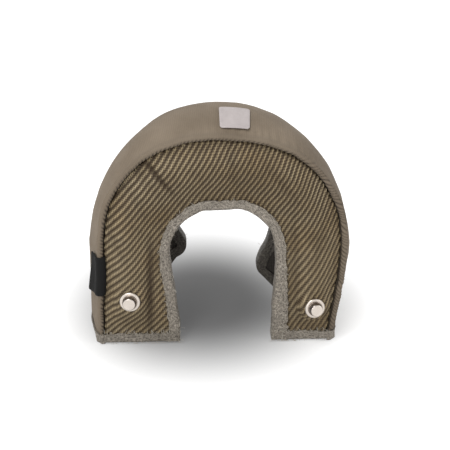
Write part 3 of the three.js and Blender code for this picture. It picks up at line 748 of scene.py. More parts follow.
@dataclass
class WallCloth:
    """The woven cover and the plain liner of one wall."""

    bench: Bench
    wall: Wall
    twill: Twill = Twill()
    tone: TwillTone = TwillTone()
    cover_margin: float = 1.05
    pad_inset: float = 0.4
    liner_margin: float = 1.3
    liner_sag: float = 0.9
    plain_step: float = 2.2
    fuzz: float = 0.05
    rib_sink: float = 0.08
    sharp: float = 75.0

    def trimmed(self, x: Array, z: Array, polygon: Array) -> tuple:
        """Trim a grid to a polygon and draw its edge points onto the polygon.

        Args:
            x: The grid's x.
            z: The grid's z.
            polygon: The wanted outline.

        Returns:
            The kept cells, and the grid's places with their edge on the outline.
        """
        shape = x.shape
        places = np.stack([x.ravel(), z.ravel()], axis=1)
        inside = within(polygon, places).reshape(shape)
        keep = inside[:-1, :-1] & inside[:-1, 1:] & inside[1:, 1:] & inside[1:, :-1]
        used = np.zeros(shape, dtype=int)
        for i in (0, 1):
            for j in (0, 1):
                used[i : shape[0] - 1 + i, j : shape[1] - 1 + j] += keep
        edge = ((used > 0) & (used < 4)).ravel()
        closed = np.concatenate([polygon, polygon[:1]])
        places[edge] = nearest(closed, places[edge])[1]
        return keep, places

    def shell(
        self, keep: Array, places: Array, faces: tuple, pattern: tuple, raised: Array
    ) -> Shell:
        """Make a closed shell between two faces over the kept cells of a grid.

        Args:
            keep: The kept cells.
            places: All places of the grid.
            faces: Functions that give the distance of both faces from the middle plane.
            pattern: The two pattern coordinates and the painted shade share of every place.
            raised: How far the first face stands out more at every place.

        Returns:
            The shell, with unused points left out.
        """
        rows, columns = keep.shape[0] + 1, keep.shape[1] + 1
        count = rows * columns
        front = np.arange(count).reshape(rows, columns)
        quads, used = sandwich(keep, front, front + count)
        first = used[used < count]
        away = [face(places[first]) for face in faces]
        away[0] = away[0] + raised.ravel()[first]
        sign = self.wall.side.value
        points = [
            np.stack([places[first, 0], sign * depth, places[first, 1]], axis=1) for depth in away
        ]
        number = np.full(2 * count, -1)
        number[first] = np.arange(len(first))
        number[first + count] = np.arange(len(first)) + len(first)
        uv = np.stack([pattern[0].ravel()[first], pattern[1].ravel()[first]], axis=1)
        relief_and_shade = pattern[2].ravel()[first]
        return Shell(
            np.concatenate(points),
            number[np.array(quads)].tolist(),
            np.concatenate([uv, uv]),
            np.concatenate([relief_and_shade, relief_and_shade]),
        )

    def cover(self) -> Piece:
        """Weave the cover, in steps of half a yarn."""
        polygon = self.wall.polygon(FIT_GAP, self.cover_margin, self.cover_margin)
        level, upright = self.twill.yarns(polygon)
        weft, warp = np.meshgrid(
            np.arange(math.floor(2 * level.min()) - 2, 2 * level.max() + 3) / 2,
            np.arange(math.floor(2 * upright.min()) - 2, 2 * upright.max() + 3) / 2,
            indexing="ij",
        )
        x, z = self.twill.places(weft, warp)
        noise = Unevenness(self.wall.seed + 7)
        x = x + 0.3 * noise.at(x, z, 17.0)
        z = z + 0.35 * noise.at(z, x, 15.0)
        keep, places = self.trimmed(x, z, polygon)
        rib = self.twill.rib(weft, warp)
        height = self.twill.relief_and_shade(weft, warp) + self.fuzz * noise.at(weft, warp, 1.3)
        height = height - self.rib_sink * (1.0 - rib)
        faces = (self.wall.soft_face, lambda chosen: self.wall.soft_face(chosen) - COVER_THICKNESS)
        # Painted shade in the folds, then the twill's painted light share at every place.
        crease_shade = self.wall.crease_shade(places).reshape(height.shape)
        light = self.tone.light(height, rib, places[:, 1].reshape(height.shape), crease_shade)
        shell = self.shell(keep, places, faces, (weft, warp, light), self.twill.depth * height)
        return self.bench.add(f"{self.wall.name}_woven_cover", shell, self.sharp)

    def plain(self, name: str, polygon: Array, *faces: Callable) -> Piece:
        """Lay a plain layer inside an outline, on an even grid.

        Args:
            name: The end of its name.
            polygon: Its outline.
            *faces: Functions that give the distance of both faces from the middle plane.

        Returns:
            The layer.
        """
        step = self.plain_step
        spans = [
            np.arange(low - step, high + step, step)
            for low, high in zip(polygon.min(axis=0), polygon.max(axis=0))
        ]
        x, z = np.meshgrid(*spans, indexing="ij")
        keep, places = self.trimmed(x, z, polygon)
        shell = self.shell(keep, places, faces, (x, z, 0.5 + 0 * x), 0 * x)
        return self.bench.add(f"{self.wall.name}_{name}", shell, self.sharp)

    def padding(self) -> Piece:
        """Lay the wool pad under the cover, pressed where the cover is pressed."""
        margin = self.cover_margin + self.pad_inset
        return self.plain(
            "wool_pad",
            self.wall.polygon(FIT_GAP + self.pad_inset, margin, margin),
            lambda chosen: self.wall.soft_face(chosen) - COVER_THICKNESS - 2 * FIT_GAP,
            lambda chosen: PAD_BACK + 0 * chosen[:, 0],
        )

    def liner(self) -> Piece:
        """Lay the inner cloth, which sags a little between its edges."""
        polygon = self.wall.polygon(RIM_PAD + FIT_GAP, self.liner_margin, self.liner_margin)
        noise = Unevenness(self.wall.seed + 19)

        def sag(chosen: Array) -> Array:
            """Return how far the cloth hangs off its pad."""
            edge = nearest(np.concatenate([polygon, polygon[:1]]), chosen)[0]
            bare = smooth((edge - TAPE_WIDTH) / 8.0)
            hang = 0.5 + 0.5 * noise.at(chosen[:, 0], chosen[:, 1], 12.0)
            return bare * hang * self.liner_sag

        return self.plain(
            "inner_cloth",
            polygon,
            lambda chosen: PAD_BACK - FIT_GAP + 0 * chosen[:, 0],
            lambda chosen: LINER_BACK - sag(chosen),
        )


# Mesh tape


@dataclass
class EdgeTape:
    """Mesh tape folded over one wall's opening edge and along the bottom of its feet."""

    bench: Bench
    wall: Wall
    step: float = 0.8
    waver: float = 0.7
    broad_lumps: tuple[float, float] = (0.3, 5.0)
    fine_lumps: tuple[float, float] = (0.26, 1.5)
    right_spread: float = 0.0
    # Share of colour kept on the tape's inside faces, as painted shade.
    soot_and_shade: float = 1.0
    stitch_reach: float = 5.9
    stitch_pitch: float = 3.3
    stitch_length: float = 2.3
    stitch_radius: float = 0.3

    def path(self) -> tuple[Array, Array, Array]:
        """Return the folded edge's places, the vectors into the wall, and the run."""
        left = np.array([[self.wall.seam[0, 0] + FIT_GAP, 0.0]])
        right = np.array([[self.wall.seam[-1, 0] - FIT_GAP, 0.0]])
        legs = [np.concatenate([left, self.wall.opening[:1]]), self.wall.opening]
        legs.append(np.concatenate([self.wall.opening[-1:], right]))
        parts = [respaced(leg, self.step)[0] for leg in legs]
        places = np.concatenate([parts[0], parts[1][1:], parts[2][1:]])
        along = np.diff(places, axis=0)
        along /= np.linalg.norm(along, axis=1)[:, None]
        square = np.stack([-along[:, 1], along[:, 0]], axis=1)
        before = np.concatenate([square[:1], square])
        after = np.concatenate([square, square[-1:]])
        inward = (before + after) / (1.0 + (before * after).sum(1))[:, None]
        return places, inward, run_along(places)

    def profile(self) -> Array:
        """Return the channel's section, as reach into the wall and distance from the middle."""
        out, back = TAPE_FACE, LINER_BACK - FIT_GAP
        top, low, width = out + TAPE_THICKNESS, back - TAPE_THICKNESS, TAPE_WIDTH
        return np.array(
            [
                [width - 0.1, out + 0.05],
                [width, out + 0.5],
                [width - 0.2, top - 0.05],
                [width - 1.6, top],
                [width * 0.55, top],
                [2.0, top],
                [0.8, top - 0.35],
                [0.2, top - 1.3],
                [0.0, HALF_DEPTH - 1.0],
                [0.0, mix(out, back, 0.35)],
                [0.0, mix(out, back, 0.7)],
                [0.0, back + 0.3],
                [0.3, low + 0.35],
                [1.2, low + 0.05],
                [width * 0.6, low],
                [width - 0.2, low],
                [width, low + 0.5],
                [width - 0.1, back - 0.05],
                [width * 0.6, back],
                [1.5, back + 0.05],
                [1.0, back + 0.6],
                [1.0, mix(out, back, 0.5)],
                [1.0, out - 0.7],
                [1.5, out - 0.05],
                [width * 0.6, out],
            ]
        )

    def tape(self) -> Piece:
        """Fold the tape round the edge."""
        places, inward, run = self.path()
        section = self.profile()
        noise = Unevenness(self.wall.seed + 31)
        reach = np.broadcast_to(section[:, 0], (len(places), len(section))).copy()
        depth = np.broadcast_to(section[:, 1], reach.shape).copy()
        rim = reach > TAPE_WIDTH - 2.0
        waver = noise.at(run[:, None], depth, 4.0) + 0.5 * noise.at(run[:, None], depth, 1.7)
        reach += rim * waver * self.waver
        spread = smooth((66.0 - places[:, 1]) / 45.0) * (places[:, 0] > 0) * (places[:, 1] > 0.5)
        reach *= np.where(depth > LINER_BACK, 1.0 + self.right_spread * spread[:, None], 1.0)
        knit = noise.waves(run[:, None], reach, self.broad_lumps, self.fine_lumps)
        depth += np.where(depth > TAPE_FACE + 0.4, knit, 0.0)
        near_seam = np.minimum(
            np.abs(places[:, 0] - self.wall.seam[0, 0]), np.abs(places[:, 0] - self.wall.seam[-1, 0])
        )
        ends = (near_seam < RIM_STACK + FIT_GAP)[:, None] & (depth < LINER_BACK)
        reach = np.where(ends, np.minimum(reach, TAPE_THICKNESS), reach)
        spot = places[:, None, :] + inward[:, None, :] * reach[:, :, None]
        height = np.maximum(spot[:, :, 1], 0.0)
        points = np.stack([spot[:, :, 0], self.wall.side.value * depth, height], axis=2)
        pattern = np.stack(np.broadcast_arrays(run[:, None], run_along(section)[None]), axis=2)
        # Painted shade: the parts of the tape inside the wall are darkened by this share.
        relief_and_shade = np.where(depth < HALF_DEPTH - 2.0, self.soot_and_shade, 1.0)
        return self.bench.add(f"{self.wall.name}_bound_edge", swept(points, pattern, relief_and_shade), 60.0)

    def stitching(self) -> Piece:
        """Sew a row of stitches along the tape, each a short rounded bar."""
        places, inward, _ = self.path()
        level = TAPE_FACE + TAPE_THICKNESS
        noise = Unevenness(self.wall.seed + 43)
        line = places + inward * self.stitch_reach
        lengths = run_along(line)
        starts = np.arange(3.0, lengths[-1] - 4.0, self.stitch_pitch)
        shares = np.array([0.0, 0.12, 0.5, 0.88, 1.0])
        girth = np.array([0.35, 0.85, 1.0, 0.85, 0.35]) * self.stitch_radius
        angles = np.arange(6) * np.pi / 3
        bars = []
        for number, start in enumerate(starts):
            at = start + shares * self.stitch_length
            x, z = (np.interp(at, lengths, line[:, k]) for k in (0, 1))
            turn = np.array([x[-1] - x[0], z[-1] - z[0]])
            turn /= np.linalg.norm(turn)
            side = np.array([-turn[1], turn[0]]) * 1.3
            wander = 0.25 * noise.at(float(number), 0.0, 1.4)
            rise = level - 0.12 + 0.2 * np.sin(np.pi * shares)
            ring = [
                [
                    [
                        x[k] + side[0] * (wander + girth[k] * math.cos(a)),
                        self.wall.side.value * (rise[k] + girth[k] * math.sin(a)),
                        z[k] + side[1] * (wander + girth[k] * math.cos(a)),
                    ]
                    for a in angles
                ]
                for k in range(len(shares))
            ]
            points = np.array(ring)
            pattern = np.stack(np.broadcast_arrays(at[:, None], angles[None]), axis=2)
            bars.append(swept(points, pattern))
        return self.bench.add(f"{self.wall.name}_tape_stitching", reduce(Shell.joined, bars))


# Rim


@dataclass
class Rim:
    """The padded rim that arches over both walls: its cover, liner and foot tapes."""

    bench: Bench
    roll_radius: float = 2.4
    roll_proud: float = 2.6
    bulge_side: tuple[float, float] = (8.2, 5.5)
    bulge_top: float = 11.0
    bulge_foot: tuple[float, float] = (6.8, 2.5)
    foot_tuck: float = 5.6
    foot_tuck_height: float = 13.0
    shoulder_dip: float = 3.2
    fold_depth: float = 3.5
    twist_pitch: float = 2.7
    twist_depth: float = 0.6
    roll_steps: int = 14
    crest_steps: int = 58
    tape_steps: int = 120
    fine_steps: tuple[int, int] = (96, 350)
    plain_steps: tuple[int, int] = (30, 90)
    foot_level: float = TAPE_THICKNESS + FIT_GAP
    gather_pitch: float = 6.2
    gather_height: float = 0.55
    gather_reach: float = 8.0
    pleat_pitch: float = 4.2
    pleat_height: float = 0.22
    pleat_reach: float = 12.0
    broad_wrinkles: tuple[float, float] = (0.55, 24.0)
    fine_wrinkles: tuple[float, float] = (0.22, 8.0)
    broad_lumps: tuple[float, float] = (0.25, 5.0)
    fine_lumps: tuple[float, float] = (0.2, 1.6)
    seed: int = 5

    def __post_init__(self) -> None:
        """Work out the rolled edges and the swell from the driving sizes."""
        self.swell_edge = HALF_DEPTH - 0.5
        self.swell_base = self.roll_radius + FIT_GAP + 0.8 * self.roll_radius
        self.fold_inner = HALF_DEPTH + self.roll_proud - self.roll_radius - self.fold_depth

    def stations(self, floor: float, leg_steps: int, arch_steps: int) -> dict[str, Array]:
        """Return both seams' points and normals, the bulge and the run at every station."""
        found = {}
        for name, seam in (("front", FRONT_SEAM), ("rear", REAR_SEAM)):
            points = seam.points(floor, leg_steps, arch_steps)
            normals = square_normals(points)
            normals[0], normals[-1] = (-1.0, 0.0), (1.0, 0.0)
            found[name] = points
            found[name + "_sway"] = swayed(points, SEAM_SWAY) - points
            found[name + "_normal"] = normals
        front = found["front"]
        found["bulge"] = self.bulge(front)
        found["run"] = run_along(front)
        return found

    def bulge(self, points: Array) -> Array:
        """Return the swell at seam points: it grows up the legs' outside and most at the top."""
        rise = (points[:, 1] - ARCH_CENTRE) / FRONT_SEAM.rise
        foot = np.where(points[:, 0] < 0, *self.bulge_foot)
        side = np.where(points[:, 0] < 0, *self.bulge_side)
        low = mix(foot, side, smooth(points[:, 1] / ARCH_CENTRE))
        tuck = self.foot_tuck * (1.0 - np.minimum(points[:, 1] / self.foot_tuck_height, 1.0)) ** 2
        low = np.maximum(low - tuck, 0.2)
        dip = self.shoulder_dip * np.sin(np.pi * np.clip(rise, 0.0, 1.0)) ** 0.8
        return np.where(rise >= 0, mix(side, self.bulge_top, np.abs(rise) ** 4) - dip, low)

    @staticmethod
    def thinned(height: Array) -> Array:
        """Return how thick the rolled edge is, as a share: it is pressed thin near the floor."""
        return 0.35 + 0.65 * smooth(np.asarray(height) / 15.0)

    def swell(self, y: Array, bulge: Array) -> Array:
        """Return the reach of the cover between its rolled edges."""
        share = np.minimum(np.abs(y) / self.swell_edge, 1.0)
        return self.swell_base + bulge * (1.0 - share**2)

    @staticmethod
    def place(stations: dict, reach: Array, y: Array) -> Array:
        """Return points at a reach from the seams, which change over from front to rear.

        Args:
            stations: What the stations method returned.
            reach: Reach outwards, as stations by places.
            y: Y, as stations by places.

        Returns:
            Points, as stations by places by 3.
        """
        share = smooth((y + LINER_BACK) / (2 * LINER_BACK))[:, :, None]
        sewn = smooth((np.abs(y) - 30.0) / 3.0)[:, :, None]
        ends = [
            stations[name][:, None, :]
            + stations[name + "_normal"][:, None, :] * reach[:, :, None]
            + stations[name + "_sway"][:, None, :] * sewn
            for name in ("front", "rear")
        ]
        flat = mix(ends[0], ends[1], share)
        return np.stack([flat[:, :, 0], y, flat[:, :, 1]], axis=2)

    def outside(self, bulge: Array, run: Array, thin: Array) -> tuple[Array, Array, Array]:
        """Return the outer face of the cover from the front seam to the rear one.

        Args:
            bulge: The swell of each station.
            run: Each station's distance along the seam.
            thin: The thickness of the rolled edge at each station, as a share.

        Returns:
            Reach, Y and the painted shade share from the relief, as stations by places.
        """
        noise = Unevenness(self.seed)
        fade = (1.0 - 0.75 * smooth((run - run[-1] * 0.62) / 25.0))[:, None]
        degrees = np.linspace(180.0, 345.0, self.roll_steps)
        angle = np.radians(degrees)[None]
        crest = np.sin(np.linspace(-1.0, 1.0, self.crest_steps) * np.radians(70.0))
        crest = crest / crest.max() * 0.955 * self.swell_edge
        rows = np.ones((len(run), 1))
        parts = []
        for sign in (-1, 1):
            twist = run[:, None] / self.twist_pitch + sign * degrees[None] / 120.0
            twist = twist + 0.8 * noise.at(run[:, None], sign * 9.0 + 0 * degrees[None], 9.0)
            strand = np.abs(np.sin(np.pi * twist)) ** 0.8
            strand = mix(strand, 0.9 + 0 * strand, smooth((degrees[None] - 235.0) / 45.0) * fade)
            loose = 1.0 + 0.14 * noise.at(run[:, None], sign * 3.0 + 0 * degrees[None], 11.0)
            body = self.roll_radius * thin[:, None]
            radius = body * loose - self.twist_depth * (1.0 - strand)
            reach = body + FIT_GAP + radius * np.cos(angle)
            middle = HALF_DEPTH + 0.1 + self.roll_proud * thin[:, None] - body
            level = sign * (middle - radius * np.sin(angle))
            # Painted shade: the strand gaps and the edge where it tucks into the seam are darkened.
            sewn = mix(0.2, 1.0, smooth((degrees[None] - 185.0) / 40.0))
            parts.append((reach, level, (0.08 + 0.92 * strand) * sewn))
        y = crest[None] * rows
        reach = self.swell(y, bulge[:, None])
        reach = reach + self.gathers(run[:, None], y)
        front, rear = parts
        return (
            np.concatenate([front[0], reach, rear[0][:, ::-1]], axis=1),
            np.concatenate([front[1], y, rear[1][:, ::-1]], axis=1),
            np.concatenate([front[2], np.ones_like(y), rear[2][:, ::-1]], axis=1),
        )

    def gathers(self, run: Array, y: Array) -> Array:
        """Return how far the cover's gathers and wrinkles stand out."""
        noise = Unevenness(self.seed + 1)
        edge = self.swell_edge - np.abs(y)
        side = np.sign(y)
        phase = run / self.gather_pitch + 0.9 * noise.at(run, side * 11.0, 17.0) + 0.03 * edge
        deep = 0.55 + 0.45 * noise.at(run, side * 23.0, 30.0)
        folds = np.cos(2 * np.pi * phase) * deep * np.exp(-edge / self.gather_reach)
        wrinkles = noise.waves(run, y, self.broad_wrinkles, self.fine_wrinkles)
        drift = edge / self.pleat_pitch + 0.7 * noise.at(run, y, 22.0)
        pleats = self.pleat_height * np.sin(2 * np.pi * drift)
        worn = smooth(noise.at(run, side * 31.0, 60.0) * 1.5 + 0.3)
        pleats = pleats * (worn * np.exp(-edge / self.pleat_reach))
        return (folds * self.gather_height + wrinkles + pleats) * smooth(edge / 2.0 + 0.2)

    def under(self, bulge: Array, depth: float, extent: float) -> tuple[Array, Array]:
        """Return the inner face of a layer a depth under the swell, from rear to front."""
        y = extent * np.array([1.0, 0.85, 0.65, 0.4, 0.15, -0.15, -0.4, -0.65, -0.85, -1.0])
        y = np.broadcast_to(y[None], (len(bulge), len(y)))
        return self.swell(y, bulge[:, None]) - depth, y

    def cover(self) -> Piece:
        """Sweep the cover over both seams, with its edges rolled like rope."""
        stations = self.stations(self.foot_level, *self.fine_steps)
        thin = self.thinned(stations["front"][:, 1])
        reach, y, relief_and_shade = self.outside(stations["bulge"], stations["run"], thin)
        inner, inner_y = self.under(stations["bulge"], COVER_THICKNESS + 0.4, self.fold_inner)
        edge = np.full((len(reach), 1), FIT_GAP)
        lip = np.full((len(reach), 1), self.fold_inner)
        reach = np.concatenate([reach, edge, inner, edge], axis=1)
        y = np.concatenate([y, lip, inner_y, -lip], axis=1)
        plain = np.ones((len(reach), y.shape[1] - relief_and_shade.shape[1]))
        relief_and_shade = np.concatenate([relief_and_shade, plain], axis=1)
        points = self.place(stations, reach, y)
        steps = np.linalg.norm(np.diff(points, axis=1), axis=2)
        around = np.concatenate([np.zeros((len(y), 1)), np.cumsum(steps, axis=1)], axis=1)
        run = np.broadcast_to(stations["run"][:, None], around.shape)
        shell = swept(points, np.stack([run, around], axis=2), relief_and_shade)
        return self.bench.add("rim_gathered_cover", shell, 65.0)

    def layer(self, name: str, stations: dict, reach: Array, y: Array, sharp: float) -> Piece:
        """Sweep a section without relief over both seams.

        Args:
            name: The piece's name.
            stations: What the stations method returned.
            reach: Reach outwards, as stations by places.
            y: Y, as stations by places.
            sharp: Angle in degrees past which an edge stays sharp.

        Returns:
            The piece.
        """
        run = np.broadcast_to(stations["run"][:, None], y.shape)
        shell = swept(self.place(stations, reach, y), np.stack([run, y], axis=2))
        return self.bench.add(name, shell, sharp)

    def padding(self) -> Piece:
        """Sweep the rim's wool pad, which fills its cover and reaches down between the walls."""
        stations = self.stations(self.foot_level, *self.plain_steps)
        extent, stem = self.fold_inner - 2 * FIT_GAP, LINER_BACK - FIT_GAP
        outer, level = self.under(stations["bulge"], COVER_THICKNESS + 4 * FIT_GAP, extent)
        reach = [FIT_GAP, FIT_GAP, -RIM_PAD, -RIM_PAD, FIT_GAP, FIT_GAP]
        y = [-extent, -stem, -stem, stem, stem, extent]
        rows = np.ones((len(outer), 1))
        reach = np.concatenate([outer, rows * [reach]], axis=1)
        y = np.concatenate([level, rows * [y]], axis=1)
        return self.layer("rim_wool_pad", stations, reach, y, 50.0)

    def liner(self) -> Piece:
        """Sweep the inner cloth of the rim, slightly slack between its edges."""
        stations = self.stations(self.foot_level, *self.plain_steps)
        noise = Unevenness(self.seed + 2)
        side = LINER_BACK - FIT_GAP
        y = np.linspace(-side, side, 25)
        y = np.broadcast_to(y[None], (len(stations["run"]), 25))
        outer = np.full(y.shape, -RIM_PAD - FIT_GAP)
        slack = 0.5 + 0.5 * noise.at(stations["run"][:, None], y, 13.0)
        slack = (1.0 - (np.abs(y) / side) ** 4) * slack
        inner = outer - LINER_THICKNESS - 0.8 * slack
        reach = np.concatenate([outer, inner[:, ::-1]], axis=1)
        both = np.concatenate([y, y[:, ::-1]], axis=1)
        return self.layer("rim_inner_cloth", stations, reach, both, 75.0)

    def foot_tape(self, side: str) -> Piece:
        """Fold the tape round the bottom end of the rim on one foot."""
        heights = np.array([0.0, 0.25, TAPE_THICKNESS, 2.6, 4.2, 5.8, 6.9, TAPE_WIDTH])
        pick = 0 if side == "left" else -1
        rows = [self.stations(float(max(height, 0.01)), 4, 8) for height in heights]
        keys = ("front", "rear", "front_normal", "rear_normal", "front_sway", "rear_sway")
        chosen = {key: np.stack([row[key][pick] for row in rows]) for key in keys}
        bulges = np.array([row["bulge"][pick] for row in rows])
        noise = Unevenness(self.seed + (3 if side == "left" else 4))
        skins = [[], []]
        for height, bulge in zip(heights, bulges):
            outline = self.smooth_outside(float(bulge), 210.0, float(self.thinned(height)))
            total = np.linalg.norm(np.diff(outline, axis=0), axis=1).sum()
            run = np.linspace(0.0, total, self.tape_steps)
            bumps = noise.waves(run, height, self.broad_lumps, self.fine_lumps)
            skins[0].append(along_outline(outline, run, FIT_GAP + TAPE_THICKNESS + 0.1 + bumps))
            skins[1].append(along_outline(outline, run, FIT_GAP + 0 * run))
        flat = [np.array(skin) for skin in skins]
        solid = [self.place(chosen, skin[:, :, 0], skin[:, :, 1]) for skin in flat]
        ragged = heights[:, None] * (1.0 + 0.09 * noise.at(run[None], 0.0, 2.6))
        for skin in solid:
            skin[:, :, 2] = ragged
        loops = np.concatenate([solid[0], solid[1][::-1]], axis=0).transpose(1, 0, 2)
        rise = np.concatenate([heights, heights[::-1] + 9.0])
        pattern = np.stack(np.broadcast_arrays(run[:, None], rise[None]), axis=2)
        shell = swept(loops, pattern, np.ones(loops.shape[:2]))
        plate = self.foot_plate(chosen, flat[0][0][:, 0] - 0.4, flat[0][0][:, 1])
        return self.bench.add(f"{side}_foot_binding", shell.joined(plate), 60.0)

    def smooth_outside(self, bulge: float, start: float, thin: float = 1.0) -> Array:
        """Return the rim's smooth outside from front to rear, as reach and Y.

        Args:
            bulge: The swell.
            start: Angle in degrees at which the rolled edge is taken up; 180 is the seam.
            thin: The thickness of the rolled edge, as a share.

        Returns:
            The points of the section.
        """
        angle = np.radians(np.linspace(start, 345.0, 24))
        radius = self.roll_radius * thin
        middle = radius - HALF_DEPTH - 0.1 - self.roll_proud * thin
        roll = [radius + FIT_GAP + radius * np.cos(angle), middle + radius * np.sin(angle)]
        roll = np.stack(roll, axis=1)
        y = np.linspace(-0.94, 0.94, 60) * self.swell_edge
        crest = np.stack([self.swell(y, np.full(len(y), bulge)), y], axis=1)
        return np.concatenate([roll, crest, (roll * [1.0, -1.0])[::-1]])

    def foot_plate(self, chosen: dict, outer: Array, y: Array) -> Shell:
        """Return the tape's web under the layers and its upstand inside."""
        wall = LINER_BACK - 2 * FIT_GAP - TAPE_THICKNESS
        back = -RIM_STACK - FIT_GAP
        reach = np.concatenate([outer, [FIT_GAP, FIT_GAP], [back - 1.0] * 2, [FIT_GAP, FIT_GAP]])
        level = np.concatenate([y, [y[-1], wall], [wall, -wall], [-wall, y[0]]])
        shells = []
        for heights, reaches, levels in (
            ((0.0, TAPE_THICKNESS), reach, level),
            ((0.0, TAPE_WIDTH), np.array([back, back, back - 1.0, back - 1.0]), None),
        ):
            levels = np.array([-wall, wall, wall, -wall]) if levels is None else levels
            rows = {key: chosen[key][[0, -1]] for key in chosen}
            grid = [np.broadcast_to(values[None], (2, len(values))) for values in (reaches, levels)]
            loops = self.place(rows, *grid)
            loops[:, :, 2] = np.array(heights)[:, None]
            flat = np.stack([grid[1], loops[:, :, 2]], axis=2)
            shells.append(swept(loops, flat, np.ones(grid[1].shape)))
        return shells[0].joined(shells[1])


# Frayed threads


@dataclass
class FrayedThreads:
    """Loose threads along the edges of one wall's mesh tape."""

    bench: Bench
    wall: Wall
    tape: EdgeTape
    count: int = 420
    foot_share: float = 0.45
    foot_height: float = 14.0
    edge_share: float = 0.6
    radius: float = 0.17
    seed: int = 77

    def build(self) -> Piece:
        """Scatter the threads along both edges of the tape, thickest near the floor."""
        draw = np.random.default_rng(self.seed + self.wall.side.value)
        places, inward, _ = self.tape.path()
        low = np.flatnonzero(places[:, 1] < self.foot_height)
        share = np.linspace(0.0, 1.0, 5)
        angles = np.arange(4) * np.pi / 2
        girth = self.radius * (1.0 - 0.6 * share)[:, None]
        threads = []
        for _ in range(self.count):
            near_foot = draw.random() < self.foot_share
            spot = int(draw.choice(low) if near_foot else draw.integers(len(places)))
            at_edge = draw.random() < self.edge_share
            reach = TAPE_WIDTH - 0.4 if at_edge else draw.uniform(0.3, 2.0)
            start = places[spot] + inward[spot] * reach
            along = math.atan2(inward[spot][1], inward[spot][0]) + (0.0 if at_edge else math.pi)
            turn = along + draw.uniform(-1.3, 1.3) + draw.uniform(-1.5, 1.5) * share
            longer = 3.0 * (places[spot][1] < self.foot_height)
            length = draw.uniform(1.2, 3.4) + longer * draw.random()
            xs = start[0] + np.cumsum(np.cos(turn)) * length / 5
            zs = np.maximum(start[1] + np.cumsum(np.sin(turn)) * length / 5, 0.2)
            rise = draw.uniform(0.4, 1.2)
            ys = TAPE_FACE + TAPE_THICKNESS + 0.2 + rise * np.sin(share * np.pi / 2)
            points = np.zeros((5, 4, 3))
            points[:, :, 0] = xs[:, None] + girth * np.cos(angles)
            points[:, :, 1] = self.wall.side.value * (ys[:, None] + girth * np.sin(angles))
            points[:, :, 2] = zs[:, None] + 0.5 * girth * np.sin(angles + 0.8)
            pattern = np.stack(np.broadcast_arrays(share[:, None], angles[None]), axis=2)
            threads.append(swept(points, pattern))
        return self.bench.add(f"{self.wall.name}_frayed_threads", reduce(Shell.joined, threads))


# Labels


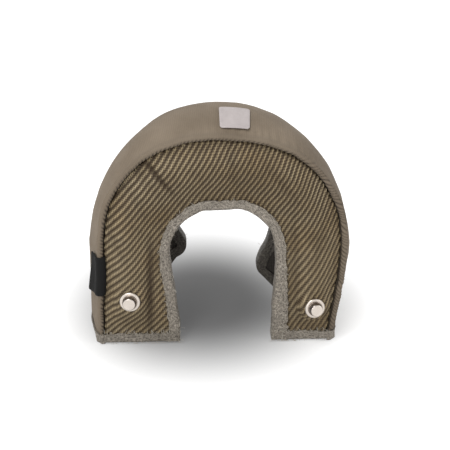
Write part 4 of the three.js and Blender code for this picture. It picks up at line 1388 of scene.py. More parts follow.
@dataclass
class Labels:
    """The black folded tag in the side seam and the blank patch on top of the rim."""

    bench: Bench
    rim: Rim
    tag_base: float = 40.0
    tag_height: float = 30.0
    tag_reach: float = 16.4
    tag_start: float = 0.2
    tag_flare: float = 2.6
    tag_thickness: float = 0.9
    patch_width: float = 19.0
    patch_length: float = 21.5
    patch_offset: float = 9.0
    patch_front: float = -30.5
    patch_thickness: float = 0.7
    patch_corner: float = 1.8
    patch_steps: int = 34
    tag_seed: int = 91
    patch_seed: int = 63

    def tag(self) -> Piece:
        """Fold the ribbon of the tag over the rolled edge."""
        heights = np.linspace(0.0, 1.0, 32)
        lengths = np.linspace(0.0, 1.0, 22)
        loops = []
        noise = Unevenness(self.tag_seed)
        for share in heights:
            z = self.tag_base + self.tag_height * share
            lean = FRONT_SEAM.toe_left * (1.0 - float(smooth(z / ARCH_CENTRE)))
            seam_x = lean - FRONT_SEAM.half_left
            bulge = float(self.rim.bulge(np.array([[seam_x, z]]))[0])
            outline = self.rim.smooth_outside(bulge, 180.0)
            reach = self.tag_reach + 0.9 * (1.0 - share) ** 2
            run = self.tag_start + lengths * reach
            curl = self.tag_flare * (1.0 - share) ** 1.5 * lengths**2
            curl = curl + 0.25 * noise.at(4.0 * lengths, 3.0 * share, 1.0)
            near = along_outline(outline, run, 0.6 + curl)
            thick = self.tag_thickness * (0.85 + 0.5 * np.exp(-(((lengths - 1.0) / 0.12) ** 2)))
            far = along_outline(outline, run, 0.6 + curl + thick)
            tuck = 0.5 * (np.exp(-((share / 0.03) ** 2)) + np.exp(-(((1 - share) / 0.03) ** 2)))
            level = np.concatenate([near, far[::-1]])
            pinch = np.concatenate([near, near[::-1]])
            section = mix(level, pinch, tuck * 0.6)
            loops.append([[seam_x - r, y, z] for r, y in section])
        points = np.array(loops)
        across = np.concatenate([lengths, 2.0 - lengths[::-1]]) * self.tag_reach
        up = heights * self.tag_height
        pattern = np.stack(np.broadcast_arrays(across[None], up[:, None]), axis=2)
        return self.bench.add("side_seam_tag", swept(points, pattern), 60.0)

    def patch(self) -> Piece:
        """Press the blank patch to the top of the rim, with rounded corners."""
        steps = self.patch_steps
        share = np.linspace(-1.0, 1.0, steps)
        a, b = np.meshgrid(share, share, indexing="ij")
        half, half_length = self.patch_width / 2, self.patch_length / 2
        square = 1.0 - self.patch_corner / half
        over_a = np.maximum(np.abs(a) - square, 0.0) / (1.0 - square)
        over_b = np.maximum(np.abs(b) - square, 0.0) / (1.0 - square)
        pull = np.maximum(np.hypot(over_a, over_b) / np.maximum(np.maximum(over_a, over_b), 1e-9), 1.0)
        a_round = np.sign(a) * (np.minimum(np.abs(a), square) + over_a * (1.0 - square) / pull)
        b_round = np.sign(b) * (np.minimum(np.abs(b), square) + over_b * (1.0 - square) / pull)
        noise = Unevenness(self.patch_seed)
        edge = 1.0 - np.maximum(np.abs(a), np.abs(b))
        lift = 0.3 * noise.at(3.0 * a, 3.0 * b, 1.0) * smooth(edge * 6) + 0.7 * smooth(-b * 4 - 3)
        x = self.patch_offset + half * a_round
        y = self.patch_front + half_length * (1.0 + b_round)
        rolled = 0.3 * (1.0 - smooth(edge * 9))
        base = FIT_GAP + 0.45
        skins = [
            self.over_rim(x, y, base + lift + self.patch_thickness - rolled),
            self.over_rim(x, y, base + lift - 0.1),
        ]
        count = steps * steps
        front = np.arange(count).reshape(steps, steps)
        keep = np.ones((steps - 1, steps - 1), dtype=bool)
        faces, _ = sandwich(keep, front, front + count)
        pattern = np.stack([x.ravel(), y.ravel()], axis=1)
        points = np.concatenate([skin.reshape(-1, 3) for skin in skins])
        shell = Shell(points, faces, np.concatenate([pattern, pattern]))
        return self.bench.add("rim_top_patch", shell, 60.0)

    def over_rim(self, x: Array, y: Array, lift: Array) -> Array:
        """Return points over the arch, at x and y, lifted off the rim's swell."""
        share = np.abs(x / FRONT_SEAM.half_right)
        ends = []
        for seam in (FRONT_SEAM, REAR_SEAM):
            up = (1.0 - share**seam.squareness) ** (1.0 / seam.squareness)
            slope = np.sign(x) * (seam.rise / seam.half_right) * share ** (seam.squareness - 1.0)
            normal = np.stack([slope, np.ones_like(x)], axis=-1)
            normal /= np.linalg.norm(normal, axis=-1)[..., None]
            ends.append((np.stack([x, ARCH_CENTRE + seam.rise * up], axis=-1), normal))
        front = ends[0][0].reshape(-1, 2)
        bulge = self.rim.bulge(front).reshape(x.shape)
        reach = (self.rim.swell(y, bulge) + lift)[..., None]
        turn = smooth((y + LINER_BACK) / (2 * LINER_BACK))[..., None]
        flat = mix(ends[0][0] + ends[0][1] * reach, ends[1][0] + ends[1][1] * reach, turn)
        return np.stack([flat[..., 0], y, flat[..., 1]], axis=-1)


# Rivets


@dataclass
class RivetShop:
    """Turned steel rivets: each a flange, a button on its shank, and a washer behind the liner."""

    bench: Bench
    walls: dict[Side, Wall]
    flange_radius: float = 7.6
    flange_top: float = 7.0
    flange_thickness: float = 1.1
    shank_radius: float = 2.0
    button_base: float = 5.4
    button_top: float = 4.0
    button_height: float = 4.0
    lip_height: float = 0.7
    lip_share: float = 0.985
    edge_width: float = 0.45
    edge_height: float = 0.4
    dish_inset: float = 0.9
    dish_depth: float = 0.12
    backing_radius: float = 6.5
    backing_thickness: float = 1.0
    upset_radius: float = 3.1
    upset_height: float = 1.5
    shank_depth: float = 14.0
    facets: int = 72
    stock: dict[str, Piece] = field(default_factory=dict)

    def start(self, radius: float, low: float, high: float) -> Piece:
        """Add a round blank between two levels and open it for editing."""
        bpy.ops.object.select_all(action="DESELECT")
        bpy.ops.mesh.primitive_cylinder_add(
            vertices=self.facets,
            radius=radius * MM,
            depth=(high - low) * MM,
            location=(0.0, 0.0, (low + high) / 2 * MM),
        )
        bpy.ops.object.transform_apply(location=True, rotation=True, scale=True)
        bpy.ops.object.mode_set(mode="EDIT")
        bpy.ops.mesh.select_mode(type="FACE")
        return bpy.context.object

    @staticmethod
    def pick(blank: Piece, test: Callable[[bmesh.types.BMFace], bool]) -> None:
        """Select the faces of the edited blank that pass a test, and nothing else."""
        bpy.ops.mesh.select_all(action="DESELECT")
        work = bmesh.from_edit_mesh(blank.data)
        for face in work.faces:
            face.select_set(test(face))
        bmesh.update_edit_mesh(blank.data)

    @staticmethod
    def end_cap(sign: int) -> Callable[[bmesh.types.BMFace], bool]:
        """Return a test for the large flat face at one end."""
        return lambda face: len(face.verts) > 8 and face.normal.z * sign > 0.9

    @staticmethod
    def widen(factor: float, level: float) -> None:
        """Scale what is selected about the axis."""
        bpy.ops.transform.resize(value=(factor, factor, 1.0), center_override=(0.0, 0.0, level * MM))

    @staticmethod
    def extrude(distance: float) -> None:
        """Extrude what is selected along the axis."""
        bpy.ops.mesh.extrude_region_move(TRANSFORM_OT_translate={"value": (0.0, 0.0, distance * MM)})

    def close(self, blank: Piece, bevel: float) -> Piece:
        """Break the blank's edges, shade it and put it aside."""
        bpy.ops.object.mode_set(mode="OBJECT")
        modifier = blank.modifiers.new("broken_edges", "BEVEL")
        modifier.width = bevel * MM
        modifier.segments = 3
        modifier.limit_method = "ANGLE"
        modifier.angle_limit = math.radians(28.0)
        bpy.ops.object.modifier_apply(modifier=modifier.name)
        bpy.ops.object.shade_smooth_by_angle(angle=math.radians(40.0))
        return blank

    def ring(self, radius: float, top_radius: float, thickness: float, bevel: float) -> Piece:
        """Turn a flat ring with a bore for the shank.

        Args:
            radius: Outer radius of its bottom.
            top_radius: Outer radius of its top.
            thickness: Its thickness.
            bevel: Width of its broken edges.

        Returns:
            The ring, standing on the level of the origin.
        """
        bore = self.shank_radius + FIT_GAP
        blank = self.start(radius, 0.0, thickness)
        self.pick(blank, self.end_cap(1))
        self.widen(top_radius / radius, thickness)
        bpy.ops.mesh.inset(thickness=(top_radius - bore) * MM)
        self.pick(blank, self.end_cap(-1))
        bpy.ops.mesh.inset(thickness=(radius - bore) * MM)
        self.pick(blank, lambda face: len(face.verts) > 8)
        bpy.ops.mesh.bridge_edge_loops()
        return self.close(blank, bevel)

    def button(self) -> Piece:
        """Turn the button with its shank and its upset end."""
        blank = self.start(self.shank_radius, -self.shank_depth, 0.0)
        self.pick(blank, self.end_cap(1))
        self.extrude(0.0)
        self.widen(self.button_base / self.shank_radius, 0.0)
        self.extrude(self.lip_height)
        self.widen(self.lip_share, self.lip_height)
        self.extrude(self.button_height - (self.lip_height + self.edge_height))
        shoulder = self.button_top + self.edge_width
        self.widen(shoulder / (self.button_base * self.lip_share), self.button_height)
        self.extrude(self.edge_height)
        self.widen(self.button_top / shoulder, self.button_height)
        bpy.ops.mesh.inset(thickness=self.dish_inset * MM)
        bpy.ops.transform.translate(value=(0.0, 0.0, -self.dish_depth * MM))
        self.pick(blank, self.end_cap(-1))
        self.extrude(0.0)
        self.widen(self.upset_radius / self.shank_radius, -self.shank_depth)
        self.extrude(-0.5 * self.upset_height)
        self.extrude(-0.5 * self.upset_height)
        self.widen(0.55, -self.shank_depth)
        return self.close(blank, 0.28)

    def placed(self, kind: str, name: str, matrix: Matrix, sink: float = 0.0) -> Piece:
        """Copy a piece from stock, with its own mesh, and set it in place.

        Args:
            kind: The stock piece.
            name: The copy's name.
            matrix: Where it goes.
            sink: How much deeper the shank's far end goes.

        Returns:
            The copy.
        """
        mesh = self.stock[kind].data.copy()
        mesh.name = name
        for vertex in mesh.vertices:
            if vertex.co.z < -0.5 * self.shank_depth * MM:
                vertex.co.z -= sink * MM
        mesh.transform(matrix)
        mesh.update()
        piece = bpy.data.objects.new(name, mesh)
        bpy.context.scene.collection.objects.link(piece)
        return piece

    def fit(self, rivet: RivetPlace) -> list[Piece]:
        """Set one rivet in its wall and return its pieces."""
        wall = self.walls[rivet.wall]
        seat = wall.seat(rivet)
        axis = rivet.axis()
        origin = self.bench.metres(np.array([rivet.x, rivet.wall.value * seat, rivet.z]))
        turn = Vector((0.0, 0.0, 1.0)).rotation_difference(Vector(axis)).to_matrix().to_4x4()
        cosine = abs(axis[1])
        dip = self.backing_radius * math.sqrt(1.0 - cosine**2)
        depth = (seat - LINER_BACK + dip + FIT_GAP) / cosine
        top = FIT_GAP + self.flange_thickness
        base = top + FIT_GAP
        shank = depth + self.backing_thickness + FIT_GAP + base
        levels = {"flange": FIT_GAP, "button": base, "backing_washer": -depth - self.backing_thickness}
        pieces = []
        for kind, level in levels.items():
            node = f"{rivet.label()}_{kind}"
            lift = Matrix.Translation(Vector(origin)) @ turn @ Matrix.Translation((0, 0, level * MM))
            sink = shank - self.shank_depth if kind == "button" else 0.0
            piece = self.placed(kind, f"{node}_turned", lift, sink)
            pieces.append(self.bench.seat(piece, Slot.STEEL, node))
        return pieces

    def mark_flank(self, blank: Piece) -> None:
        """Put the button's sloping flank on its second finish, whose darker colour is a painted dark
        reflection.
        """
        for face in blank.data.polygons:
            level = face.center.z / MM
            face.material_index = int(abs(face.normal.z) < 0.8 and 0.15 < level < self.button_height)

    def build(self, steel: Board, flank: Board) -> list[Piece]:
        """Turn one of each piece, copy them to every rivet, and clear the stock.

        Args:
            steel: The finish of every face but one.
            flank: The finish of the buttons' sloping flanks, a darker steel as a painted dark reflection.

        Returns:
            The pieces.
        """
        self.stock["flange"] = self.ring(
            self.flange_radius, self.flange_top, self.flange_thickness, 0.3
        )
        self.stock["backing_washer"] = self.ring(
            self.backing_radius, self.backing_radius, self.backing_thickness, 0.2
        )
        self.stock["button"] = self.button()
        for item in self.stock.values():
            item.data.materials.clear()
            item.data.materials.append(steel.material)
            item.data.materials.append(flank.material)
        self.mark_flank(self.stock["button"])
        pieces = []
        for wall in self.walls.values():
            for rivet in wall.rivets:
                pieces += self.fit(rivet)
        for item in self.stock.values():
            bpy.data.objects.remove(item, do_unlink=True)
        return pieces


# Finishes


class Signal:
    """A number in a material, whose Python arithmetic becomes Math nodes."""

    def __init__(self, board: Board, socket: Socket) -> None:
        """Hold the socket that gives the number."""
        self.board = board
        self.socket = socket

    def _math(self, operation: str, *values: object) -> Signal:
        """Return the result of a Math node on values."""
        settings = {"operation": operation}
        made = self.board.node("ShaderNodeMath", settings, dict(enumerate(values)))
        return Signal(self.board, made.outputs[0])

    def __add__(self, other: object) -> Signal:
        """Add a number."""
        return self._math("ADD", self, other)

    __radd__ = __add__

    def __mul__(self, other: object) -> Signal:
        """Multiply by a number."""
        return self._math("MULTIPLY", self, other)

    __rmul__ = __mul__

    def __sub__(self, other: object) -> Signal:
        """Take a number away."""
        return self._math("SUBTRACT", self, other)

    def __rsub__(self, other: object) -> Signal:
        """Take this away from a number."""
        return self._math("SUBTRACT", other, self)

    def __pow__(self, other: object) -> Signal:
        """Raise to a power."""
        return self._math("POWER", self, other)

    def sine(self) -> Signal:
        """Return the sine."""
        return self._math("SINE", self)

    def magnitude(self) -> Signal:
        """Return the distance from zero."""
        return self._math("ABSOLUTE", self)

    def held(self, low: float, high: float) -> Signal:
        """Return the number held between two others."""
        return self._math("MINIMUM", self._math("MAXIMUM", self, low), high)

    def ribs(self, pitch: float) -> Signal:
        """Return rounded ribs, one to each pitch of this length, from 0 to 1."""
        return (self * (math.pi / pitch)).sine().magnitude()


def paint(red: int, green: int, blue: int) -> tuple[float, float, float, float]:
    """Return a display colour of 0 to 255 as linear light."""
    values = [channel / 255 for channel in (red, green, blue)]
    linear = [v / 12.92 if v <= 0.04045 else ((v + 0.055) / 1.055) ** 2.4 for v in values]
    return (*linear, 1.0)


class Board:
    """The nodes of one material."""

    def __init__(self, name: str) -> None:
        """Start a material with a plain surface shader."""
        self.material = bpy.data.materials.new(name)
        self.take_up(self.material, "Principled BSDF")

    def take_up(self, owner: bpy.types.ID, surface: str) -> None:
        """Work on an owner's nodes and its named surface shader."""
        owner.use_nodes = True
        self.tree = owner.node_tree
        self.surface = self.tree.nodes[surface]

    def node(self, kind: str, settings: dict | None = None, inputs: dict | None = None) -> bpy.types.Node:
        """Add a node.

        Args:
            kind: The node's type.
            settings: Its own settings.
            inputs: Values or links of its sockets.

        Returns:
            The node.
        """
        made = self.tree.nodes.new(kind)
        for key, value in (settings or {}).items():
            setattr(made, key, value)
        for key, value in (inputs or {}).items():
            self.feed(made.inputs[key], value)
        return made

    def feed(self, socket: Socket, value: object) -> None:
        """Give a socket a value, a signal or another socket."""
        if isinstance(value, Signal):
            self.tree.links.new(value.socket, socket)
        elif isinstance(value, Socket):
            self.tree.links.new(value, socket)
        else:
            socket.default_value = value

    def set(self, **inputs: object) -> None:
        """Feed the surface shader's sockets, with underscores for spaces."""
        for key, value in inputs.items():
            self.feed(self.surface.inputs[key.replace("_", " ")], value)

    def attribute(self, name: str) -> Signal:
        """Return a number that the mesh carries."""
        return Signal(self, self.node("ShaderNodeAttribute", {"attribute_name": name}).outputs["Fac"])

    def pattern(self) -> tuple[Signal, Signal]:
        """Return the two pattern coordinates of the piece."""
        layer = self.node("ShaderNodeUVMap", {"uv_map": "pattern"})
        parts = self.node("ShaderNodeSeparateXYZ", None, {0: layer.outputs[0]})
        return Signal(self, parts.outputs[0]), Signal(self, parts.outputs[1])

    def noise(self, place: Socket, stretch: tuple, scale: float, detail: float) -> Signal:
        """Return noise over places, which are stretched first."""
        scaled = self.node("ShaderNodeMapping", None, {"Vector": place, "Scale": stretch})
        inputs = {"Vector": scaled.outputs[0], "Scale": scale, "Detail": detail}
        return Signal(self, self.node("ShaderNodeTexNoise", None, inputs).outputs["Fac"])

    def grain(self, scale: float, detail: float = 2.0, stretch: tuple = (1.0, 1.0, 1.0)) -> Signal:
        """Return noise in object space, in bumps per metre, stretched along the axes."""
        place = self.node("ShaderNodeTexCoord").outputs["Object"]
        return self.noise(place, stretch, scale, detail)

    def woven_grain(self, along: float, across: float, detail: float = 1.0) -> Signal:
        """Return noise on the pattern coordinates, with its own scale each way."""
        layer = self.node("ShaderNodeUVMap", {"uv_map": "pattern"})
        return self.noise(layer.outputs[0], (along, across, 1.0), 1.0, detail)

    def blend(self, share: object, low: object, high: object, way: str = "MIX") -> Socket:
        """Return a colour a share of the way between two, or towards their product."""
        settings = {"data_type": "RGBA", "blend_type": way}
        return self.node("ShaderNodeMix", settings, {0: share, 6: low, 7: high}).outputs[2]

    def shaded(self, colour: object, by: Signal) -> Socket:
        """Return a colour made lighter or darker by a number."""
        tint = self.node("ShaderNodeCombineColor", None, {0: by, 1: by, 2: by})
        return self.blend(1.0, colour, tint.outputs[0], "MULTIPLY")

    def bump(self, height: Signal, distance: float) -> None:
        """Raise the surface by a height in millimetres."""
        inputs = {"Height": height, "Distance": distance * MM, "Strength": 1.0}
        self.set(Normal=self.node("ShaderNodeBump", None, inputs).outputs[0])

    def dress(self, pieces: Iterable[Piece]) -> None:
        """Give pieces this material only."""
        for piece in pieces:
            piece.data.materials.clear()
            piece.data.materials.append(self.material)


class Sky(Board):
    """The nodes of the surroundings."""

    def __init__(self, name: str) -> None:
        """Start surroundings of one colour and show them."""
        world = bpy.data.worlds.new(name)
        bpy.context.scene.world = world
        self.take_up(world, "Background")


@dataclass(frozen=True)
class TwillFinish:
    """Mineral-fibre twill: light ridges over gaps darkened by painted shade, with a fine thread grain."""

    ridge: tuple = paint(180, 165, 135)
    # The valley colour is painted shade in the gaps between yarns.
    valley_shade: tuple = paint(40, 27, 13)
    warm: tuple = paint(152, 132, 98)

    def build(self) -> Board:
        """Return the material."""
        board = Board("woven_cover_cloth")
        relief_and_shade = board.attribute("relief_and_shade").held(0.0, 1.0)
        broad = board.grain(38.0)
        patchy = board.grain(150.0)
        thread = board.woven_grain(1.1, 1.1)
        fibre = board.woven_grain(9.0, 9.0, 3.0)
        light = board.blend(broad * 1.6 - 0.3, self.ridge, self.warm)
        # The painted shade carried by the mesh darkens the gaps towards the valley colour.
        woven = board.blend(relief_and_shade**1.7, self.valley_shade, light)
        shade = 0.62 + 0.6 * patchy + 0.4 * thread + 0.3 * fibre
        board.set(Base_Color=board.shaded(woven, shade), Roughness=0.62 + 0.2 * fibre)
        board.set(Specular_IOR_Level=0.35)
        board.bump(fibre * 0.7 + thread * 0.5, 0.12)
        return board


@dataclass(frozen=True)
class RimFinish:
    """Finely woven rim cloth: taupe, with faint ribs, and painted shade in the gaps of its rolled edges
    and along the seam under them.
    """

    light: tuple = paint(132, 119, 103)
    dark: tuple = paint(100, 88, 73)
    # The gap colour is painted shade in the rolled edges' hollows.
    gap: tuple = paint(24, 18, 12)
    rib_pitch: float = 1.15
    cross_pitch: float = 0.8

    def build(self) -> Board:
        """Return the material."""
        board = Board("rim_cloth_weave")
        run, around = board.pattern()
        relief_and_shade = board.attribute("relief_and_shade").held(0.0, 1.0)
        broad = board.grain(30.0, 3.0)
        speck = board.woven_grain(1.6, 0.8)
        rib, cross = run.ribs(self.rib_pitch), around.ribs(self.cross_pitch)
        base = board.blend((broad * 1.6 - 0.3).held(0.0, 1.0), self.light, self.dark)
        # The painted shade on the mesh darkens the rolled edges towards the gap colour.
        seams = board.blend(relief_and_shade**1.1, self.gap, base)
        shade = 0.84 + 0.12 * rib + 0.06 * cross + 0.14 * speck
        board.set(Base_Color=board.shaded(seams, shade), Roughness=0.74 + 0.12 * speck)
        board.set(Specular_IOR_Level=0.35)
        board.bump(rib * 0.6 + cross * 0.4 + speck * 0.5, 0.13)
        return board


@dataclass(frozen=True)
class TapeFinish:
    """Knitted metal mesh tape: grey and speckled, with small open loops, and painted shade on its inside
    faces.
    """

    light: tuple = paint(178, 169, 156)
    dark: tuple = paint(62, 55, 47)
    loop_pitch: float = 1.0
    loop_sway: float = 0.22
    course_share: float = 0.8

    def build(self) -> Board:
        """Return the material."""
        board = Board("mesh_tape_knit")
        run, around = board.pattern()
        speck = board.woven_grain(1.9, 1.9, 2.0)
        broad = board.grain(90.0)
        sway = (around * (2 * math.pi / self.loop_pitch)).sine() * self.loop_sway
        wale = (run + sway).ribs(self.loop_pitch)
        course = around.ribs(self.course_share * self.loop_pitch)
        blotch = board.woven_grain(0.55, 0.75, 2.0)
        rough = (speck - 0.5) * 1.8 + (blotch - 0.5) * 1.9
        knit = (wale * 0.45 + course * 0.25 + rough + 0.1).held(0.0, 1.0)
        colour = board.blend(knit, self.dark, self.light)
        # The mesh carries painted shade for the tape's inside faces.
        soot_and_shade = board.attribute("relief_and_shade").held(0.0, 1.0)
        board.set(Base_Color=board.shaded(colour, (0.6 + 0.6 * broad) * soot_and_shade))
        board.set(Roughness=0.75 - 0.25 * knit, Metallic=0.25)
        board.bump(knit, 0.28)
        return board


@dataclass(frozen=True)
class LinerFinish:
    """Dark plain-woven inner cloth, its dark colour partly painted shade for the shaded inside of the
    walls, with a slight soot.
    """

    # Dark colours that also hold painted shade for the inside of the walls.
    light: tuple = paint(74, 68, 61)
    dark: tuple = paint(34, 30, 27)
    yarn_pitch: float = 1.3

    def build(self) -> Board:
        """Return the material."""
        board = Board("liner_cloth_weave")
        run, around = board.pattern()
        weave = run.ribs(self.yarn_pitch) * around.ribs(self.yarn_pitch)
        soot_and_shade = board.grain(60.0, 3.0)
        colour = board.blend(weave * 0.7 + soot_and_shade * 0.4, self.dark, self.light)
        board.set(Base_Color=board.shaded(colour, 0.6 + 0.7 * soot_and_shade), Roughness=0.9 - 0.1 * weave)
        board.bump(weave, 0.25)
        return board


@dataclass(frozen=True)
class FeltFinish:
    """Needled ceramic wool."""

    light: tuple = paint(222, 216, 202)
    dark: tuple = paint(186, 178, 160)

    def build(self) -> Board:
        """Return the material."""
        board = Board("needled_felt")
        fibre = board.grain(900.0, 4.0, (1.0, 1.0, 0.4))
        clump = board.grain(120.0)
        colour = board.blend(fibre * 0.7 + clump * 0.3, self.dark, self.light)
        board.set(Base_Color=colour, Roughness=0.92 + 0.06 * clump)
        board.bump(fibre, 0.3)
        return board


@dataclass(frozen=True)
class TagFinish:
    """Tightly woven black ribbon with a selvedge."""

    light: tuple = paint(22, 21, 20)
    dark: tuple = paint(5, 5, 5)
    rib_pitch: float = 0.55
    cross_pitch: float = 0.7

    def build(self) -> Board:
        """Return the material."""
        board = Board("black_ribbon")
        across, up = board.pattern()
        rib, cross = up.ribs(self.rib_pitch), across.ribs(self.cross_pitch)
        lint = board.grain(700.0, 3.0)
        colour = board.blend(rib * 0.3 + lint * 0.5, self.dark, self.light)
        board.set(Base_Color=colour, Roughness=0.8 + 0.15 * lint, Specular_IOR_Level=0.25)
        board.bump(rib * 0.7 + cross * 0.3, 0.1)
        return board


@dataclass(frozen=True)
class PatchFinish:
    """Blank woven label cloth, nearly white, with a pressed edge."""

    light: tuple = paint(188, 180, 178)
    dark: tuple = paint(160, 151, 150)
    pitch: float = 0.5

    def build(self) -> Board:
        """Return the material."""
        board = Board("blank_patch")
        across, back = board.pattern()
        rib, cross = across.ribs(self.pitch), back.ribs(self.pitch)
        wear = board.grain(160.0, 3.0)
        colour = board.blend(wear * 0.7 + rib * cross * 0.3, self.dark, self.light)
        board.set(Base_Color=colour, Roughness=0.5 + 0.2 * wear)
        board.bump(rib + cross, 0.05)
        return board


@dataclass(frozen=True)
class SteelFinish:
    """Nickel-bright turned steel with faint turning lines and handling marks."""

    name: str = "turned_steel"
    bright: tuple = paint(206, 197, 187)
    dull: tuple = paint(180, 171, 163)

    def build(self) -> Board:
        """Return the material."""
        board = Board(self.name)
        marks = board.grain(420.0, 4.0)
        smudge = board.grain(140.0)
        colour = board.blend(smudge, self.bright, self.dull)
        board.set(Base_Color=colour, Metallic=1.0, Roughness=0.22 + 0.2 * marks * smudge)
        board.bump(marks, 0.012)
        return board


@dataclass(frozen=True)
class ThreadFinish:
    """Pale glass-fibre sewing thread."""

    name: str = "sewing_thread"
    light: tuple = paint(158, 151, 138)
    dark: tuple = paint(92, 85, 74)

    def build(self) -> Board:
        """Return the material."""
        board = Board(self.name)
        ply = board.grain(1800.0, 1.0)
        board.set(Base_Color=board.blend(ply, self.dark, self.light), Roughness=0.55 + 0.2 * ply)
        board.bump(ply, 0.08)
        return board


# Stage


@dataclass(frozen=True)
class Softbox:
    """A square lamp that faces the blanket, in metres and watts."""

    name: str
    place: tuple[float, float, float]
    size: float
    power: float
    aim: tuple[float, float, float] = (0.0, 0.0, 0.07)

    def hang(self) -> None:
        """Add the lamp."""
        data = bpy.data.lights.new(self.name, "AREA")
        data.size = self.size
        data.energy = self.power
        lamp = bpy.data.objects.new(self.name, data)
        lamp.location = self.place
        towards = Vector(self.aim) - lamp.location
        lamp.rotation_euler = towards.to_track_quat("-Z", "Y").to_euler()
        bpy.context.scene.collection.objects.link(lamp)


@dataclass
class Stage:
    """The floor, the soft lights and the camera of the photograph."""

    bench: Bench
    azimuth: float = 2.0
    elevation: float = 24.5
    distance: float = 760.0
    target_height: float = 77.0
    pixels_per_mm: float = 1.37
    frame_pixels: int = 450
    sensor: float = 36.0
    centre_column: float = 219.0
    # The painted shadow pool on the floor: its size, its place and how dark it is.
    pool_size: tuple[float, float] = (0.145, 0.165)
    pool_left: float = 0.012
    pool_back: float = 0.03
    pool_core: float = 0.22
    pool_depth: float = 0.84
    floor_size: float = 8.0
    floor_level: float = -0.0004
    floor_grey: int = 235
    glow: float = 0.5
    softboxes: tuple[Softbox, ...] = (
        Softbox("overhead_softbox", (-0.4, -0.3, 1.1), 0.6, 6.2),
        Softbox("left_softbox", (-0.5, -1.15, 0.5), 0.5, 5.6),
        Softbox("right_softbox", (1.1, -0.6, 0.6), 0.6, 3.0),
        Softbox("rear_softbox", (0.2, 1.2, 0.9), 0.8, 3.0),
    )

    def camera(self) -> None:
        """Set up the camera at the photograph's viewing angle."""
        data = bpy.data.cameras.new("photograph")
        data.sensor_width = self.sensor
        data.lens = self.sensor * self.distance * self.pixels_per_mm / self.frame_pixels
        data.shift_x = (self.frame_pixels / 2 - self.centre_column) / self.frame_pixels
        turn, rise = math.radians(self.azimuth), math.radians(self.elevation)
        away = Vector(
            (-math.sin(turn) * math.cos(rise), -math.cos(turn) * math.cos(rise), math.sin(rise))
        )
        target = Vector(self.bench.metres(np.array([0.0, 0.0, self.target_height])))
        camera = bpy.data.objects.new("photograph", data)
        camera.location = target + away * self.distance * MM
        camera.rotation_euler = (-away).to_track_quat("-Z", "Y").to_euler()
        bpy.context.scene.collection.objects.link(camera)
        bpy.context.scene.camera = camera

    def seen(self, board: Board) -> Signal:
        """Return 1 where the camera, a mirror or glass sees a surface, and 0 for light."""
        path = board.node("ShaderNodeLightPath")
        rays = ("Is Camera Ray", "Is Glossy Ray", "Is Transmission Ray")
        camera, glossy, through = (Signal(board, path.outputs[ray]) for ray in rays)
        return (camera + glossy + through).held(0.0, 1.0)

    def painted_shadow_pool(self, board: Board) -> Signal:
        """Return how deep the painted soft shadow under and around the feet is, from 0 to 1."""
        place = board.node("ShaderNodeTexCoord").outputs["Object"]
        parts = board.node("ShaderNodeSeparateXYZ", None, {0: place})
        across = (Signal(board, parts.outputs[0]) + self.pool_left) * (1.0 / self.pool_size[0])
        back = (Signal(board, parts.outputs[1]) - self.pool_back) * (1.0 / self.pool_size[1])
        away = (across * across + back * back) ** 0.5
        step = ((away - self.pool_core) * (1.0 / (1.0 - self.pool_core))).held(0.0, 1.0)
        return 1.0 - step * step * (3.0 - 2.0 * step)

    def floor(self) -> None:
        """Lay a white floor that keeps the blanket's shadow, with a painted shadow pool under and around
        the feet.
        """
        bpy.ops.object.select_all(action="DESELECT")
        place = (0.0, 0.0, self.floor_level)
        bpy.ops.mesh.primitive_plane_add(size=self.floor_size, location=place)
        floor = bpy.context.object
        floor.name = "floor"
        bpy.ops.object.transform_apply(location=True, rotation=True, scale=True)
        board = Board("white_floor")
        # Painted shadow: the floor and its glow are darkened by the pool.
        tone = 1.0 - self.pool_depth * self.painted_shadow_pool(board)
        tint = board.shaded((1.0, 1.0, 1.0, 1.0), tone)
        grey = paint(self.floor_grey, self.floor_grey, self.floor_grey)
        board.set(Base_Color=board.shaded(grey, tone), Roughness=0.9)
        board.set(Specular_IOR_Level=0.0)
        glow = board.node("ShaderNodeEmission", None, {"Color": tint, "Strength": self.glow})
        none = board.node("ShaderNodeEmission", None, {"Color": (0, 0, 0, 1), "Strength": 0.0})
        shares = {0: self.seen(board), 1: none.outputs[0], 2: glow.outputs[0]}
        lit = board.node("ShaderNodeMixShader", None, shares)
        parts = {0: board.surface.outputs[0], 1: lit.outputs[0]}
        both = board.node("ShaderNodeAddShader", None, parts)
        board.feed(board.tree.nodes["Material Output"].inputs[0], both.outputs[0])
        board.dress([floor])

    def surroundings(self) -> None:
        """Make the surroundings white to the camera and a soft fill to the blanket."""
        sky = Sky("surroundings")
        sky.set(Color=(1.0, 1.0, 1.0, 1.0), Strength=0.5 + 0.5 * self.seen(sky))

    def build(self) -> None:
        """Set the stage."""
        self.camera()
        self.floor()
        for softbox in self.softboxes:
            softbox.hang()
        self.surroundings()
        bpy.context.scene.view_settings.view_transform = "Standard"


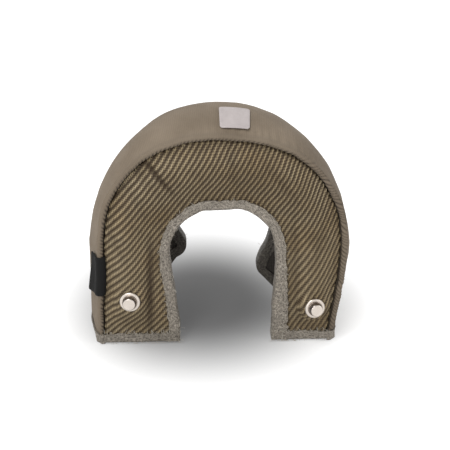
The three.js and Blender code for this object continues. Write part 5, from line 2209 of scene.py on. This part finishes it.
def main() -> None:
    """Build the blanket, its stage and its finishes."""
    logging.basicConfig(level=logging.INFO, format="%(name)s %(message)s")
    bench = Bench()
    Stage(bench).build()
    walls = {
        Side.FRONT: Wall(
            Side.FRONT,
            swayed(FRONT_SEAM.points(), SEAM_SWAY),
            swayed(FRONT_OPENING.points(), OPENING_SWAY),
            crown=7.5,
            rivets=FRONT_RIVETS,
            creases=FRONT_CREASES,
            seed=11,
        ),
        Side.REAR: Wall(
            Side.REAR,
            swayed(REAR_SEAM.points(), SEAM_SWAY),
            swayed(NeckOpening().points(), OPENING_SWAY),
            crown=5.0,
            rivets=REAR_RIVETS,
            creases=REAR_CREASES,
            seed=12,
        ),
    }
    twill, rim_weave, knit = TwillFinish().build(), RimFinish().build(), TapeFinish().build()
    lining, felt, thread = LinerFinish().build(), FeltFinish().build(), ThreadFinish().build()
    fray = ThreadFinish("frayed_glass_fibre", paint(206, 200, 188), paint(150, 143, 130)).build()
    for wall in walls.values():
        is_front = wall.side is Side.FRONT
        # The rear tape's inside faces get painted shade.
        tape = EdgeTape(bench, wall, right_spread=0.5 * is_front, soot_and_shade=1.0 if is_front else 0.4)
        cloth = WallCloth(bench, wall)
        cover = bench.seat(cloth.cover(), Slot.COVER, f"{wall.name}_cover")
        twill.dress([cover])
        pad = bench.seat(cloth.padding(), Slot.PAD, f"{wall.name}_insulation")
        felt.dress([pad])
        lining.dress([bench.seat(cloth.liner(), Slot.LINER, f"{wall.name}_liner")])
        knit.dress([bench.seat(tape.tape(), Slot.TAPE, f"{wall.name}_edge_tape")])
        thread.dress([bench.seat(tape.stitching(), Slot.TAPE)])
        fray.dress([bench.seat(FrayedThreads(bench, wall, tape).build(), Slot.TAPE)])
    rim = Rim(bench)
    gathered = bench.seat(rim.cover(), Slot.RIM, "rim_cover")
    rim_weave.dress([gathered])
    lining.dress([bench.seat(rim.liner(), Slot.LINER, "rim_liner")])
    for side in ("left", "right"):
        knit.dress([bench.seat(rim.foot_tape(side), Slot.TAPE, f"{side}_foot_tape")])
    labels = Labels(bench, rim)
    TagFinish().build().dress([bench.seat(labels.tag(), Slot.TAG, "side_tag")])
    PatchFinish().build().dress([bench.seat(labels.patch(), Slot.PATCH, "top_patch")])
    # A darker steel on the buttons' flanks, as a painted dark reflection.
    painted_flank_reflection = SteelFinish("painted_reflection_steel", paint(174, 166, 161), paint(138, 130, 127))
    RivetShop(bench, walls).build(SteelFinish().build(), painted_flank_reflection.build())
    felt.dress([bench.seat(rim.padding(), Slot.PAD, "rim_insulation")])
    LOG.info("%d pieces made", bench.made)


if __name__ == "__main__":
    main()
